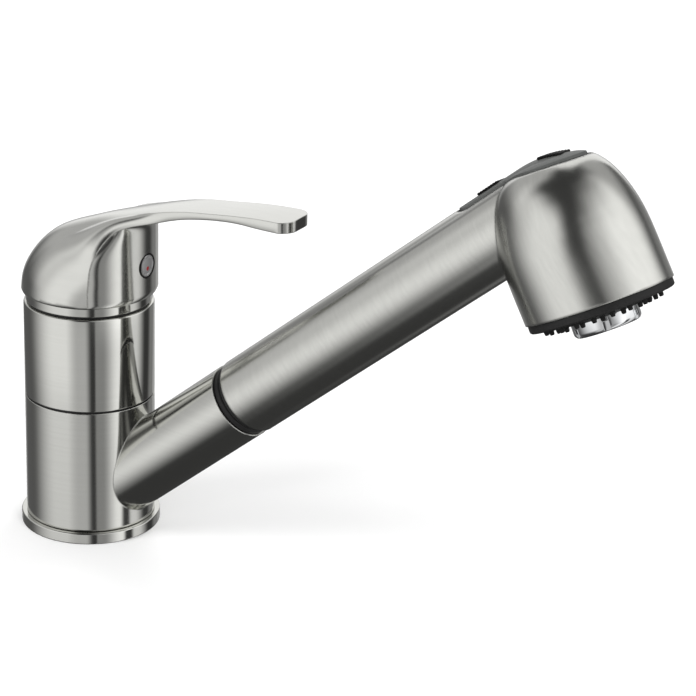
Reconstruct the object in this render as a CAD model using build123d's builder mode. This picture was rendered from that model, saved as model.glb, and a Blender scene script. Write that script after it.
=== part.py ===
from build123d import *
import os
from math import cos, degrees, radians, sin, sqrt, tan

os.makedirs("parts", exist_ok=True)

# Fits and general clearances
running_fit = 0.05
slide_clearance = 0.3
assembly_clearance = 0.15
turn_gap = 0.2
small_bevel = 0.2

# Body column, measured up from the deck
body_radius = 23.5
base_ring_step = 1.9
base_ring_radius = body_radius + base_ring_step
base_ring_height = 4.1
base_ring_round = 0.5
gasket_height = 1.6
gasket_foot_gap = 1.35
gasket_rim = 0.9
seam_height = 50.2
seam_line = 0.15
seam_washer_height = 0.55
seam_recess = 0.35
upper_sleeve_top = 85.9
sleeve_bevel = 0.6
sleeve_wall = 2.6
gap_ring_height = 1.2
gap_ring_recess = 0.6
collar_inset = 0.65
collar_radius = body_radius - collar_inset
collar_band_height = 2.8
collar_height = 3.5
collar_slope = 3.0
slip_ring_edge = 0.3
lower_slip_ring_height = 4.0
upper_slip_ring_height = 5.0
upper_slip_ring_drop = 6.0

# Inner casting
core_inset = 5.5
core_radius = body_radius - core_inset
foot_inset = 3.9
foot_radius = base_ring_radius - foot_inset
foot_height = 3.3
cup_drop = 1.9
cup_top = upper_sleeve_top - cup_drop
cup_depth = 26.0
cup_floor = cup_top - cup_depth
cup_wall = 3.1
cup_bore_radius = body_radius - sleeve_wall - assembly_clearance - cup_wall
cup_thread_relief = 1.35
cup_thread_radius = cup_bore_radius + cup_thread_relief
cup_thread_depth = 5.0
hose_chamber_bottom = 9.0
hose_chamber_top = 35.0
hose_chamber_back = -1.0

# Connections under the body
hose_passage_x = 7.0
port_radius = 4.5
port_depth = 8.0
inlet_x = -5.5
inlet_y = 9.6
outlet_x = -12.0
duct_radius = 2.5
stud_hole_radius = 2.5
stud_hole_depth = 7.0
stud_hole_x = 5.0
stud_hole_y = 13.2

# Spout
spout_axis_height = 7.5
spout_elevation = 39.5
spout_wall = 2.3
spout_mouth = 82.6
tube_root = 6.0

# Wand and dock
dock_flange_length = 2.1
dock_depth = 27.0
dock_flange_inset = 0.7
liner_wall = 1.0
wand_seat = 1.6
wand_step = 0.1
wand_wall = 1.8
wand_bevel = 0.4
bore_length = 107.5
spigot_wall = 1.9
spigot_taper = 0.9
spigot_length = 24.0
spigot_plug_length = 12.0
fitting_wall = 1.2
fitting_seat = 8.0
fitting_overhang = 3.0
fitting_bevel = 0.6
hose_radius = 6.0
hose_room = 2.0
hose_bore_radius = 3.8
hose_grip = 8.0
hose_bend_radius = 25.0

# Waterway inside the wand
waterway_radius = 5.5
pipe_bore_radius = 3.6
pipe_reach = 132.5
check_valve_bore = 1.6
check_valve_length = 12.0
check_valve_setback = 4.0

# Spray head
wand_turn = 5.2
face_reach = 139.9
face_drop = 35.3
face_tilt = 102.2
bell_tilt = 98.9
bell_radius = 25.0
bell_height = 48.0
bell_wall = 2.0
bell_crown = 6.0
bell_straight = 8.0
bell_skirt = 6.0
bell_profile = [(31.0, 1.9), (41.5, 6.3)]
bend_reach = 139.5
bend_radius = 25.2
bend_angle = 36.0

# Diverter inside the bell
diverter_radius = 13.0
diverter_bottom = 10.0
diverter_shoulder = 32.0
diverter_top = 39.5
diverter_top_radius = 8.0
diverter_crown_wall = 12.0
outlet_depth = 8.0
plunger_reach = 149.5
plunger_radius = 1.6
plunger_bottom = -2.0
plunger_room = 1.5

# Spray face, measured from the bell's rim
face_ring_height = 2.9
face_cone_height = 4.6
face_bevel = 0.5
face_rim_inset = 0.6
face_seat_clearance = 0.45
rim_line = 0.1
distributor_top = 9.0
distributor_radius = 21.0
plate_depth = 4.0
nozzle_band_outer = 21.6
nozzle_band_inner = 13.6
band_slope = 1.3
band_recess = 0.4
skin_gap = 0.02
skin_stand = 0.1
nozzle_radius = 0.95
nozzle_height = 1.2
nozzle_root = 0.6
nozzle_taper = 12.0
nozzle_rings = [(20, 19.4, 3.1), (14, 15.6, 3.7)]

# Aerator
aerator_radius = 11.4
aerator_thread_radius = 10.4
aerator_bore_radius = 8.7
aerator_drop = 9.3
aerator_shoulder = 2.0
aerator_edge = [(1.6, 0.0), (0.4, 0.7), (0.0, 1.1)]
insert_recess = 1.2
notch_count = 6
notch_width = 2.2
notch_depth = 0.9
notch_top = 6.0
notch_turn = 34.0

# Rocker panel on the head
panel_rear_reach = 113.0
panel_front_reach = 159.3
panel_rear_radius = 4.9
panel_front_radius = 7.2
panel_thickness = 2.2
panel_rise = 0.3
panel_gap = 0.3
panel_lead = 6.0
recess_headroom = 3.0
gasket_width = 1.0
gasket_step = 0.6
rocker_reach = 136.5
rocker_travel = 1.5
pin_drop = 6.6
pin_edge = 2.2
pin_radius = 1.2
pin_length = 10.0
ear_length = 6.0
ear_width = 6.0
ear_root = 1.6
ear_clearance = 1.0
ridge_count = 8
ridge_pitch = 1.15
ridge_radius = 0.5
ridge_length = 9.0
rear_ridges_reach = 121.9
front_ridges_angle = 11.7

# Cartridge
pivot_drop = 4.0
pivot_height = cup_top - pivot_drop
cartridge_radius = cup_bore_radius - assembly_clearance
cartridge_shoulder = cup_top - cup_thread_depth
base_height = 4.5
seal_radius = 3.6
seal_height = 1.2
fixed_disc_inset = 1.5
fixed_disc_radius = cartridge_radius - fixed_disc_inset
disc_height = 3.5
moving_disc_radius = 11.0
mixing_radius = 8.0
carrier_height = 3.4
carrier_floor = 0.6
rotor_inset = 4.3
rotor_radius = cartridge_radius - rotor_inset
rotor_rise = 10.0
rotor_top = pivot_height + rotor_rise
rotor_flange_inset = 2.5
rotor_flange_radius = cartridge_radius - rotor_flange_inset
rotor_shoulder_drop = 3.2
rotor_shoulder = pivot_height - rotor_shoulder_drop
thread_fit = 0.1
nut_radius = cup_thread_radius - thread_fit
nut_rise = 4.2
nut_top = cup_top + nut_rise
nut_relief = 1.8
nut_bore_radius = rotor_radius + nut_relief
stem_width = 8.0
stem_rise = 29.0
stem_top = pivot_height + stem_rise
stem_half = 4.6
stem_swing_top = 10.2
stem_pin_radius = 1.5
stem_pin_inset = 1.0
finger_drop = 7.2
finger_centre = pivot_height - finger_drop
finger_radius = 2.4
finger_shoulder = 3.0
finger_neck = 5.0
finger_neck_inset = 0.3
finger_swing = 8.2

# Lever
lever_lip_rise = 4.4
lever_lip_height = upper_sleeve_top + lever_lip_rise
lever_overhang = 1.3
lever_front_radius = body_radius + lever_overhang
skirt_overhang = 1.1
skirt_radius = body_radius + skirt_overhang
skirt_clearance = 0.25
skirt_inner_radius = collar_radius + skirt_clearance
lever_tip = 84.2
tip_half_width = 9.05
tip_corner = 3.5
fan_x = 44.0
fan_drop = 1.9
fan_height = upper_sleeve_top - fan_drop
front_reach_start = 10.0
flare = 5.0
flare_turn = 73.0
flare_rise = 37.45
flare_top = fan_height + flare_rise
blade_swell = 0.2
blade_edge_drop = 0.3
lip_bevel = 1.2
hollow_rise = 17.5
hollow_top = fan_height + hollow_rise
hollow_slope = 7.0
boss_radius = 7.5
boss_rise = 12.0
boss_bottom = fan_height + boss_rise
socket_clearance = 0.5
plug_rise = 18.7
plug_height = fan_height + plug_rise
plug_radius = 4.1
plug_seat = 22.4
plug_tail = 4.0
grub_hole_radius = 2.1
grub_length = 8.0
hex_radius = 1.15
hex_depth = 2.0

# Arm turned up about the fan line, its foot as wide as the skirt:
# angle, near, far, root, side, side_at, shoulder, shoulder_at
fan_sections = [
    (0, 29.8, fan_x + skirt_radius, skirt_radius - 4.5, skirt_radius, 44.0, skirt_radius - 7.2,
     fan_x + skirt_radius - 7.2),
    (12, 30.5, fan_x + skirt_radius - 0.1, skirt_radius - 4.4, skirt_radius - 0.3, 45.0, skirt_radius - 8.4,
     fan_x + skirt_radius - 7.2),
    (25, 32.9, fan_x + skirt_radius - 5.7, skirt_radius - 4.6, skirt_radius - 3.2, 41.5, skirt_radius - 11.0,
     fan_x + skirt_radius - 11.4),
    (40, 38.2, 52.8, 16.6, 16.2, 41.8, 10.0, 50.0),
    (55, 41.5, 46.9, 12.3, 12.2, 43.4, 8.7, 45.8),
    (75, 39.8, 44.3, 9.2, 9.3, 41.8, 8.6, 43.5),
]
# Blade beyond the fan line: forward, near, far, half width
blade_sections = [
    (0, 41.5, 44.7, 8.6),
    (11, 43.3, 45.9, 8.5),
    (21, 44.0, 46.9, 8.6),
    (31, 43.6, 47.5, 8.7),
    (lever_tip - fan_x, 43.4, 47.5, 8.8),
]
# Block that fills the arch, each section as wide as the arm's inner edge: angle, reach, half width
front_sections = [
    (0, 31.0, skirt_radius - 4.6),
    (12, 31.7, skirt_radius - 4.5),
    (25, 34.1, skirt_radius - 4.7),
    (40, 39.2, 16.5),
    (55, 42.5, 12.2),
    (75, 40.8, 9.1),
    (90, 42.5, 8.5),
]

# Sizes that follow
gasket_inner_radius = foot_radius + gasket_foot_gap
gasket_outer_radius = base_ring_radius - gasket_rim
collar_bottom = upper_sleeve_top + gap_ring_height
port_places = [(inlet_x, inlet_y), (inlet_x, -inlet_y), (outlet_x, 0)]
hose_passage_radius = hose_radius + hose_room
fitting_radius = hose_radius + fitting_wall
spigot_tip_radius = fitting_radius + slide_clearance + spigot_wall
spigot_mouth_radius = spigot_tip_radius + spigot_taper
spout_bore_radius = spigot_mouth_radius + slide_clearance + liner_wall
spout_radius = spout_bore_radius + spout_wall
dock_flange_radius = spout_radius - dock_flange_inset
wand_radius = spout_radius + wand_step
spigot_start = spout_mouth + dock_flange_length + turn_gap
wand_start = spigot_start + wand_seat
bore_end = wand_start + bore_length
pipe_end = wand_start + pipe_reach
face_distance = wand_start + face_reach
bend_start = wand_start + bend_reach
plunger_distance = wand_start + plunger_reach
panel_rear = wand_start + panel_rear_reach
panel_front = wand_start + panel_front_reach
rocker_pivot = wand_start + rocker_reach
rear_ridges_start = wand_start + rear_ridges_reach
fitting_start = spigot_start - spigot_length - fitting_overhang
fitting_end = wand_start + fitting_seat

# Reference planes and axes
spout_side = Plane(
    origin=(0, 0, spout_axis_height),
    x_dir=(cos(radians(spout_elevation)), 0, sin(radians(spout_elevation))),
    z_dir=(0, -1, 0),
)
spout_axis = Axis(spout_side.origin, spout_side.x_dir)
wand_lateral = Vector(0, -cos(radians(wand_turn)), 0) + spout_side.y_dir * sin(radians(wand_turn))
wand_side = Plane(origin=spout_side.origin, x_dir=spout_side.x_dir, z_dir=wand_lateral)


def along_spout(distance):
    """Plane square to the spout axis, its normal pointing out of the spout."""
    return Plane(
        origin=spout_side.from_local_coords((distance, 0, 0)),
        x_dir=wand_lateral,
        z_dir=spout_side.x_dir,
    )


def on_wand_side(angle, origin):
    """Plane in the wand's side view, its x direction turned down from the wand axis."""
    turned = wand_side.from_local_coords((cos(radians(angle)), -sin(radians(angle)), 0))
    start = wand_side.from_local_coords((origin[0], origin[1], 0))
    direction = turned - wand_side.origin
    return Plane(origin=start, x_dir=direction, z_dir=wand_lateral)


wand_plan = Plane(origin=wand_side.origin, x_dir=wand_side.x_dir, z_dir=wand_side.y_dir)

# The bell and the face share the centre of the bell's open rim
face_centre = (face_distance, -face_drop)
bell_side = on_wand_side(bell_tilt, face_centre)
bell_axis = Axis(bell_side.origin, bell_side.x_dir)
face_side = on_wand_side(face_tilt, face_centre)
face_plane = Plane(origin=face_side.origin, x_dir=wand_lateral, z_dir=face_side.x_dir)
face_axis = Axis(face_side.origin, face_side.x_dir)


def turned_piece(outline, plane, axis):
    """Solid of revolution from a closed outline of (along, radius) or (radius, height) points."""
    with BuildPart() as piece:
        with BuildSketch(plane):
            with BuildLine():
                Polyline(*outline, close=True)
            make_face()
        revolve(axis=axis)
    return piece


def tube_piece(inner, outer, start, end, plane=Plane.XY):
    """Plain tube between two distances along a plane's normal."""
    with BuildPart() as piece:
        with BuildSketch(plane.offset(start)):
            Circle(outer)
            Circle(inner, mode=Mode.SUBTRACT)
        extrude(amount=end - start)
    return piece


# The rocker's pivot pin crosses the handle square to its side view
pin_centre = wand_side.from_local_coords((rocker_pivot, wand_radius - pin_drop + pin_edge, 0))
pin_plane = Plane(origin=pin_centre, x_dir=spout_side.x_dir, z_dir=wand_lateral)


# Base and column

def make_base_ring():
    with BuildPart() as ring:
        with BuildSketch(Plane.XY):
            Circle(base_ring_radius)
            Circle(core_radius + assembly_clearance, mode=Mode.SUBTRACT)
        extrude(amount=base_ring_height)
        top_edge = ring.edges().filter_by(GeomType.CIRCLE).group_by(Axis.Z)[-1].sort_by(SortBy.RADIUS)[-1]
        fillet(top_edge, radius=base_ring_round)
        # Recess for the casting's foot, open below
        with BuildSketch(Plane.XY):
            Circle(foot_radius + assembly_clearance)
        extrude(amount=foot_height, mode=Mode.SUBTRACT)
        # Groove for the sealing ring
        with BuildSketch(Plane.XY):
            Circle(gasket_outer_radius)
            Circle(gasket_inner_radius, mode=Mode.SUBTRACT)
        extrude(amount=gasket_height, mode=Mode.SUBTRACT)
    return ring


def make_base_gasket():
    return tube_piece(gasket_inner_radius, gasket_outer_radius, 0, gasket_height)


def make_core_body():
    cup_outer = body_radius - sleeve_wall - assembly_clearance
    neck_top = seam_height + seam_line
    with BuildPart() as core:
        with BuildSketch(Plane.XZ):
            with BuildLine():
                Polyline(
                    (0, 0),
                    (foot_radius, 0),
                    (foot_radius, foot_height),
                    (core_radius, foot_height),
                    (core_radius, neck_top),
                    (cup_outer, neck_top + cup_outer - core_radius),
                    (cup_outer, cup_top),
                    (cup_thread_radius, cup_top),
                    (cup_thread_radius, cup_top - cup_thread_depth),
                    (cup_bore_radius, cup_top - cup_thread_depth),
                    (cup_bore_radius, cup_floor),
                    (0, cup_floor),
                    close=True,
                )
            make_face()
        revolve(axis=Axis.Z)
        # Chamber that lets the hose swing with the spout
        with BuildSketch(Plane.XY.offset(hose_chamber_bottom)):
            with Locations((hose_chamber_back, 0)):
                Rectangle(2 * core_radius, 3 * core_radius, align=(Align.MIN, Align.CENTER))
        extrude(amount=hose_chamber_top - hose_chamber_bottom, mode=Mode.SUBTRACT)
        # Hose passage through the foot
        with BuildSketch(Plane.XY):
            with Locations((hose_passage_x, 0)):
                Circle(hose_passage_radius)
        extrude(amount=hose_chamber_bottom, mode=Mode.SUBTRACT)
        # Two inlets and the outlet, with ducts up to the cartridge
        with BuildSketch(Plane.XY):
            with Locations(*port_places):
                Circle(port_radius)
        extrude(amount=port_depth, mode=Mode.SUBTRACT)
        with BuildSketch(Plane.XY.offset(port_depth)):
            with Locations(*port_places):
                Circle(duct_radius)
        extrude(amount=cup_floor - port_depth, mode=Mode.SUBTRACT)
        # Blind holes for the two fixing studs
        with BuildSketch(Plane.XY):
            with Locations((stud_hole_x, stud_hole_y), (stud_hole_x, -stud_hole_y)):
                Circle(stud_hole_radius)
        extrude(amount=stud_hole_depth, mode=Mode.SUBTRACT)
    return core


def make_slip_ring(bottom, height):
    bore = body_radius - sleeve_wall
    return tube_piece(core_radius, bore - running_fit, bottom, bottom + height)


def make_seam_washer():
    bore = body_radius - sleeve_wall
    bottom = seam_height + seam_line
    return tube_piece(bore, body_radius - seam_recess, bottom, bottom + seam_washer_height)


def make_upper_sleeve():
    bore = body_radius - sleeve_wall
    bottom = seam_height + seam_line + seam_washer_height
    with BuildPart() as sleeve:
        with BuildSketch(Plane.XZ):
            with BuildLine():
                Polyline(
                    (bore, bottom),
                    (body_radius - small_bevel, bottom),
                    (body_radius, bottom + small_bevel),
                    (body_radius, upper_sleeve_top - sleeve_bevel),
                    (body_radius - sleeve_bevel, upper_sleeve_top),
                    (nut_radius + assembly_clearance, upper_sleeve_top),
                    (nut_radius + assembly_clearance, cup_top),
                    (bore, cup_top),
                    close=True,
                )
            make_face()
        revolve(axis=Axis.Z)
    return sleeve


def make_gap_ring():
    inner = nut_radius + assembly_clearance
    return tube_piece(inner, collar_radius - gap_ring_recess, upper_sleeve_top, collar_bottom)


def make_collar():
    lip_inner = rotor_radius + 2 * assembly_clearance
    inner = nut_radius + assembly_clearance
    band_top = collar_bottom + collar_band_height
    top = collar_bottom + collar_height
    with BuildPart() as collar:
        with BuildSketch(Plane.XZ):
            with BuildLine():
                Polyline(
                    (inner, collar_bottom),
                    (collar_radius - small_bevel, collar_bottom),
                    (collar_radius, collar_bottom + small_bevel),
                    (collar_radius, band_top),
                    (collar_radius - collar_slope, top),
                    (lip_inner, top),
                    (lip_inner, nut_top + assembly_clearance),
                    (inner, nut_top + assembly_clearance),
                    close=True,
                )
            make_face()
        revolve(axis=Axis.Z)
    return collar


# Spout

def make_spout_body():
    bore = body_radius - sleeve_wall
    bottom = base_ring_height + turn_gap
    with BuildPart() as spout:
        with BuildSketch(Plane.XY.offset(bottom)):
            Circle(body_radius)
        extrude(amount=seam_height - bottom)
        with BuildSketch(spout_side):
            with BuildLine():
                Polyline(
                    (tube_root, 0),
                    (spout_mouth, 0),
                    (spout_mouth, spout_radius),
                    (tube_root, spout_radius),
                    close=True,
                )
            make_face()
        revolve(axis=spout_axis)
        # Trim what would stand out of the column's far side or floor
        with BuildSketch(Plane.XY.offset(bottom)):
            Circle(bore)
        extrude(amount=seam_height - bottom, mode=Mode.SUBTRACT)
        with BuildSketch(along_spout(0)):
            Circle(spout_bore_radius)
        extrude(amount=spout_mouth, mode=Mode.SUBTRACT)
        with BuildSketch(Plane.XY.offset(bottom)):
            Circle(body_radius * 3)
        extrude(amount=-body_radius, mode=Mode.SUBTRACT)
    return spout


def make_dock_liner():
    rear = spout_mouth - dock_depth
    front = spout_mouth + dock_flange_length
    with BuildPart() as liner:
        with BuildSketch(spout_side):
            with BuildLine():
                Polyline(
                    (rear, spout_bore_radius),
                    (spout_mouth, spout_bore_radius),
                    (spout_mouth, dock_flange_radius),
                    (front, dock_flange_radius),
                    (front, spigot_radius_at(front) + slide_clearance),
                    (rear, spigot_radius_at(rear) + slide_clearance),
                    close=True,
                )
            make_face()
        revolve(axis=spout_axis)
    return liner


# Wand

def spigot_radius_at(distance):
    """Radius of the wand's docking cone at a distance along the spout axis."""
    taper = (spigot_mouth_radius - spigot_tip_radius) / spigot_length
    return spigot_mouth_radius - taper * (spigot_start - distance)


def make_wand_spigot():
    tip = spigot_start - spigot_length
    plug_end = wand_start + spigot_plug_length
    bore = fitting_radius + slide_clearance
    wand_bore = wand_radius - wand_wall
    return turned_piece(
        [
            (tip, bore),
            (tip, spigot_tip_radius),
            (spigot_start, spigot_mouth_radius),
            (spigot_start, dock_flange_radius),
            (wand_start, dock_flange_radius),
            (wand_start, wand_bore),
            (plug_end, wand_bore),
            (plug_end, waterway_radius),
            (fitting_end + slide_clearance, waterway_radius),
            (fitting_end + slide_clearance, bore),
        ],
        spout_side,
        spout_axis,
    )


def make_hose_fitting():
    with BuildPart() as fitting:
        with BuildSketch(along_spout(fitting_start)):
            Circle(fitting_radius)
            Circle(hose_bore_radius, mode=Mode.SUBTRACT)
        extrude(amount=fitting_end - fitting_start)
        with BuildSketch(along_spout(fitting_start)):
            Circle(hose_radius)
        extrude(amount=hose_grip, mode=Mode.SUBTRACT)
        rear_edges = fitting.edges().filter_by(GeomType.CIRCLE).sort_by(spout_axis)[0:2]
        rear_edge = rear_edges.sort_by(SortBy.RADIUS)[-1]
        chamfer(rear_edge, length=fitting_bevel)
    return fitting


def make_hose():
    """Braided hose from the underside up through the column and along the spout."""
    end = fitting_start + hose_grip
    corner_height = spout_axis_height + hose_passage_x * tan(radians(spout_elevation))
    corner_distance = hose_passage_x / cos(radians(spout_elevation))
    turn = radians(90 - spout_elevation)
    tangent = hose_bend_radius * tan(turn / 2)
    low = (hose_passage_x, 0, corner_height - tangent)
    high = spout_side.from_local_coords((corner_distance + tangent, 0, 0))
    finish = spout_side.from_local_coords((end, 0, 0))
    with BuildPart() as hose:
        with BuildLine() as route:
            Line((hose_passage_x, 0, 0), low)
            TangentArc(low, high, tangent=(0, 0, 1))
            Line(high, finish)
        with BuildSketch(Plane.XY):
            with Locations((hose_passage_x, 0)):
                Circle(hose_radius)
                Circle(hose_bore_radius, mode=Mode.SUBTRACT)
        sweep(path=route.wires()[0])
    return hose


def surface_height(distance, rise):
    """Height over the wand's axis of the bent top line, lifted by rise."""
    radius = bend_radius + wand_radius + rise
    return sqrt(radius**2 - (distance - bend_start) ** 2) - bend_radius


def wand_path(end_angle):
    """The wand's centre line: the straight tube, then the bend over the bell."""
    centre = (bend_start, -bend_radius)
    with BuildLine(wand_side) as path:
        Line((panel_rear - panel_lead, 0), (bend_start, 0))
        CenterArc(centre, bend_radius, 90, -end_angle)
    return path


def bell_solid(inset, crown_inset):
    """Turned bell about its own axis, drawn down past the rim and cut at the face later."""
    radius = bell_radius - inset
    (waist, waist_inset), (shoulder, shoulder_inset) = bell_profile
    with BuildPart() as bell:
        with BuildSketch(bell_side):
            with BuildLine():
                wall = Line((bell_skirt, radius), (-bell_straight, radius))
                crown = Spline(
                    wall @ 1,
                    (-waist, radius - waist_inset),
                    (crown_inset - shoulder, radius - shoulder_inset),
                    (crown_inset - bell_height, 0),
                    tangents=[(-1, 0), (0, -1)],
                )
                Polyline(crown @ 1, (bell_skirt, 0), wall @ 0)
            make_face()
        revolve(axis=bell_axis)
        split(bisect_by=face_plane, keep=Keep.BOTTOM)
    return bell


def panel_outline(grow):
    """Tapered slot seen square to the wand, as a sketch on the wand's plan."""
    with BuildSketch(wand_plan) as outline:
        with Locations((panel_rear + panel_rear_radius, 0)):
            Circle(panel_rear_radius + grow)
        with Locations((panel_front - panel_front_radius, 0)):
            Circle(panel_front_radius + grow)
        make_hull()
    return outline


def panel_band(low, high, grow):
    """Skin between two heights over the wand's surface, inside the panel's outline."""
    path = wand_path(bend_angle + 2)
    outline = panel_outline(grow)
    with BuildPart() as band:
        with BuildSketch(along_spout(panel_rear - panel_lead)):
            Circle(wand_radius + high)
        sweep(path=path.wires()[0])
        with BuildSketch(along_spout(panel_rear - panel_lead)):
            Circle(wand_radius + low)
        sweep(path=path.wires()[0], mode=Mode.SUBTRACT)
        extrude(outline.sketch, amount=2 * wand_radius, mode=Mode.INTERSECT)
    return band


def make_wand_shell():
    bore = wand_radius - wand_wall
    recess_floor = panel_rise - panel_thickness - rocker_travel
    recess = panel_band(recess_floor, recess_headroom, panel_gap + gasket_width)
    bell = bell_solid(0, 0)
    hollow = bell_solid(bell_wall, bell_crown)
    path = wand_path(bend_angle)
    with BuildPart() as shell:
        with BuildSketch(spout_side):
            with BuildLine():
                Polyline(
                    (wand_start, 0),
                    (wand_start, wand_radius - wand_bevel),
                    (wand_start + wand_bevel, wand_radius),
                    (bend_start, wand_radius),
                    (bend_start, 0),
                    close=True,
                )
            make_face()
        revolve(axis=spout_axis)
        with BuildSketch(along_spout(panel_rear - panel_lead)):
            Circle(wand_radius)
        sweep(path=path.wires()[0])
        add(bell.part)
        add(hollow.part, mode=Mode.SUBTRACT)
        # Bore of the handle, then the narrower way for the water pipe
        with BuildSketch(along_spout(wand_start)):
            Circle(bore)
        extrude(amount=bore_end - wand_start, mode=Mode.SUBTRACT)
        with BuildSketch(along_spout(bore_end)):
            Circle(waterway_radius + assembly_clearance)
        extrude(amount=face_distance - bore_end, mode=Mode.SUBTRACT)
        add(recess.part, mode=Mode.SUBTRACT)
        # Slot and pin hole for the rocker's ear, and the plunger's way
        with BuildSketch(wand_plan.offset(wand_radius - pin_drop - slide_clearance)):
            with Locations((rocker_pivot, 0)):
                Rectangle(ear_length + 2 * ear_clearance, ear_width + 2 * panel_gap)
        extrude(amount=pin_drop, mode=Mode.SUBTRACT)
        with BuildSketch(pin_plane):
            Circle(pin_radius)
        extrude(amount=pin_length / 2, both=True, mode=Mode.SUBTRACT)
        with BuildSketch(wand_plan):
            with Locations((plunger_distance, 0)):
                Circle(plunger_radius + assembly_clearance)
        extrude(amount=wand_radius, mode=Mode.SUBTRACT)
    return shell


def make_panel_gasket():
    low = panel_rise - panel_thickness - rocker_travel
    outer = panel_band(low, panel_rise - gasket_step, panel_gap + gasket_width)
    opening = panel_outline(panel_gap)
    with BuildPart() as gasket:
        add(outer.part)
        extrude(opening.sketch, amount=2 * wand_radius, mode=Mode.SUBTRACT)
    return gasket


def make_rocker_panel():
    skin = panel_band(panel_rise - panel_thickness, panel_rise, 0)
    top = bend_radius + wand_radius + panel_rise
    with BuildPart() as rocker:
        add(skin.part)
        # Grip ridges, a group on the handle and a group over the bell
        for number in range(ridge_count):
            distance = rear_ridges_start + number * ridge_pitch
            place = wand_side.from_local_coords((distance, wand_radius + panel_rise, 0))
            with BuildSketch(Plane(origin=place, x_dir=spout_side.x_dir, z_dir=wand_lateral)):
                Circle(ridge_radius)
            extrude(amount=ridge_length / 2, both=True)
        for number in range(ridge_count):
            angle = radians(front_ridges_angle + number * degrees(ridge_pitch / top))
            ridge = (bend_start + top * sin(angle), top * cos(angle) - bend_radius, 0)
            place = wand_side.from_local_coords(ridge)
            with BuildSketch(Plane(origin=place, x_dir=spout_side.x_dir, z_dir=wand_lateral)):
                Circle(ridge_radius)
            extrude(amount=ridge_length / 2, both=True)
        # Ear that hangs on the pivot pin
        with BuildSketch(wand_side):
            with BuildLine():
                Polyline(
                    (rocker_pivot - ear_length / 2, wand_radius - pin_drop),
                    (rocker_pivot + ear_length / 2, wand_radius - pin_drop),
                    (rocker_pivot + ear_length / 2, wand_radius - ear_root),
                    (rocker_pivot - ear_length / 2, wand_radius - ear_root),
                    close=True,
                )
            make_face()
        extrude(amount=ear_width / 2, both=True)
        with BuildSketch(pin_plane):
            Circle(pin_radius + running_fit)
        extrude(amount=ear_width / 2, both=True, mode=Mode.SUBTRACT)
    return rocker


def make_rocker_pin():
    with BuildPart() as pin:
        with BuildSketch(pin_plane):
            Circle(pin_radius)
        extrude(amount=pin_length / 2, both=True)
    return pin


def make_water_pipe():
    start = fitting_end + slide_clearance
    return tube_piece(pipe_bore_radius, waterway_radius, start, pipe_end, along_spout(0))


def make_check_valve():
    start = fitting_end + slide_clearance + check_valve_setback
    return tube_piece(check_valve_bore, pipe_bore_radius, start, start + check_valve_length, along_spout(0))


def make_diverter_body():
    plane = Plane(origin=bell_side.origin, x_dir=wand_lateral, z_dir=bell_side.x_dir * -1)
    with BuildPart() as diverter:
        with BuildSketch(bell_side):
            with BuildLine():
                Polyline(
                    (-diverter_bottom, 0),
                    (-diverter_bottom, diverter_radius),
                    (-diverter_shoulder, diverter_radius),
                    (-diverter_top, diverter_top_radius),
                    (-diverter_top, 0),
                    close=True,
                )
            make_face()
        revolve(axis=bell_axis)
        # Socket for the water pipe, outlet to the spray plate and the plunger's bore
        with BuildSketch(along_spout(pipe_end + assembly_clearance)):
            Circle(waterway_radius + running_fit)
        extrude(amount=-2 * diverter_radius, mode=Mode.SUBTRACT)
        with BuildSketch(along_spout(pipe_end)):
            Circle(pipe_bore_radius)
        extrude(amount=outlet_depth, mode=Mode.SUBTRACT)
        with BuildSketch(plane.offset(diverter_bottom)):
            Circle(pipe_bore_radius)
        extrude(amount=diverter_top - diverter_bottom - diverter_crown_wall, mode=Mode.SUBTRACT)
        with BuildSketch(wand_plan.offset(plunger_bottom - plunger_room)):
            with Locations((plunger_distance, 0)):
                Circle(plunger_radius + assembly_clearance)
        extrude(amount=wand_radius, mode=Mode.SUBTRACT)
    return diverter


def make_diverter_plunger():
    under_panel = surface_height(plunger_distance + plunger_radius, panel_rise - panel_thickness)
    plunger_top = under_panel - assembly_clearance
    with BuildPart() as plunger:
        with BuildSketch(wand_plan.offset(plunger_bottom)):
            with Locations((plunger_distance, 0)):
                Circle(plunger_radius)
        extrude(amount=plunger_top - plunger_bottom)
    return plunger


# Spray face, drawn along its own axis with zero at the bell's rim

def make_distributor():
    return turned_piece(
        [
            (-distributor_top, 0),
            (-distributor_top, distributor_radius),
            (-plate_depth, distributor_radius),
            (-plate_depth, 0),
        ],
        face_side,
        face_axis,
    )


def make_face_plate():
    seat = bell_radius - bell_wall - face_seat_clearance
    rim = bell_radius - face_rim_inset
    return turned_piece(
        [
            (-plate_depth, aerator_thread_radius),
            (-plate_depth, seat),
            (rim_line, seat),
            (rim_line, rim),
            (face_ring_height - face_bevel, rim),
            (face_ring_height, rim - face_bevel),
            (face_ring_height, nozzle_band_outer),
            (face_ring_height - band_recess, nozzle_band_outer),
            (face_ring_height - band_recess + band_slope, nozzle_band_inner),
            (face_ring_height + band_slope, nozzle_band_inner),
            (face_cone_height, aerator_radius + slide_clearance),
            (face_cone_height - aerator_shoulder, aerator_radius + slide_clearance),
            (face_cone_height - aerator_shoulder, aerator_thread_radius),
        ],
        face_side,
        face_axis,
    )


def make_spray_nozzles():
    bottom = face_ring_height - band_recess + skin_gap
    top = face_ring_height + skin_stand
    skin = turned_piece(
        [
            (bottom, nozzle_band_outer - running_fit),
            (top, nozzle_band_outer - running_fit),
            (top + band_slope, nozzle_band_inner + running_fit),
            (bottom + band_slope, nozzle_band_inner + running_fit),
        ],
        face_side,
        face_axis,
    )
    with BuildPart() as nozzles:
        add(skin.part)
        for count, ring, base in nozzle_rings:
            with BuildSketch(face_plane.offset(base)):
                with PolarLocations(ring, count):
                    Circle(nozzle_radius)
            extrude(amount=nozzle_height + nozzle_root, taper=nozzle_taper)
    return nozzles


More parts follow.
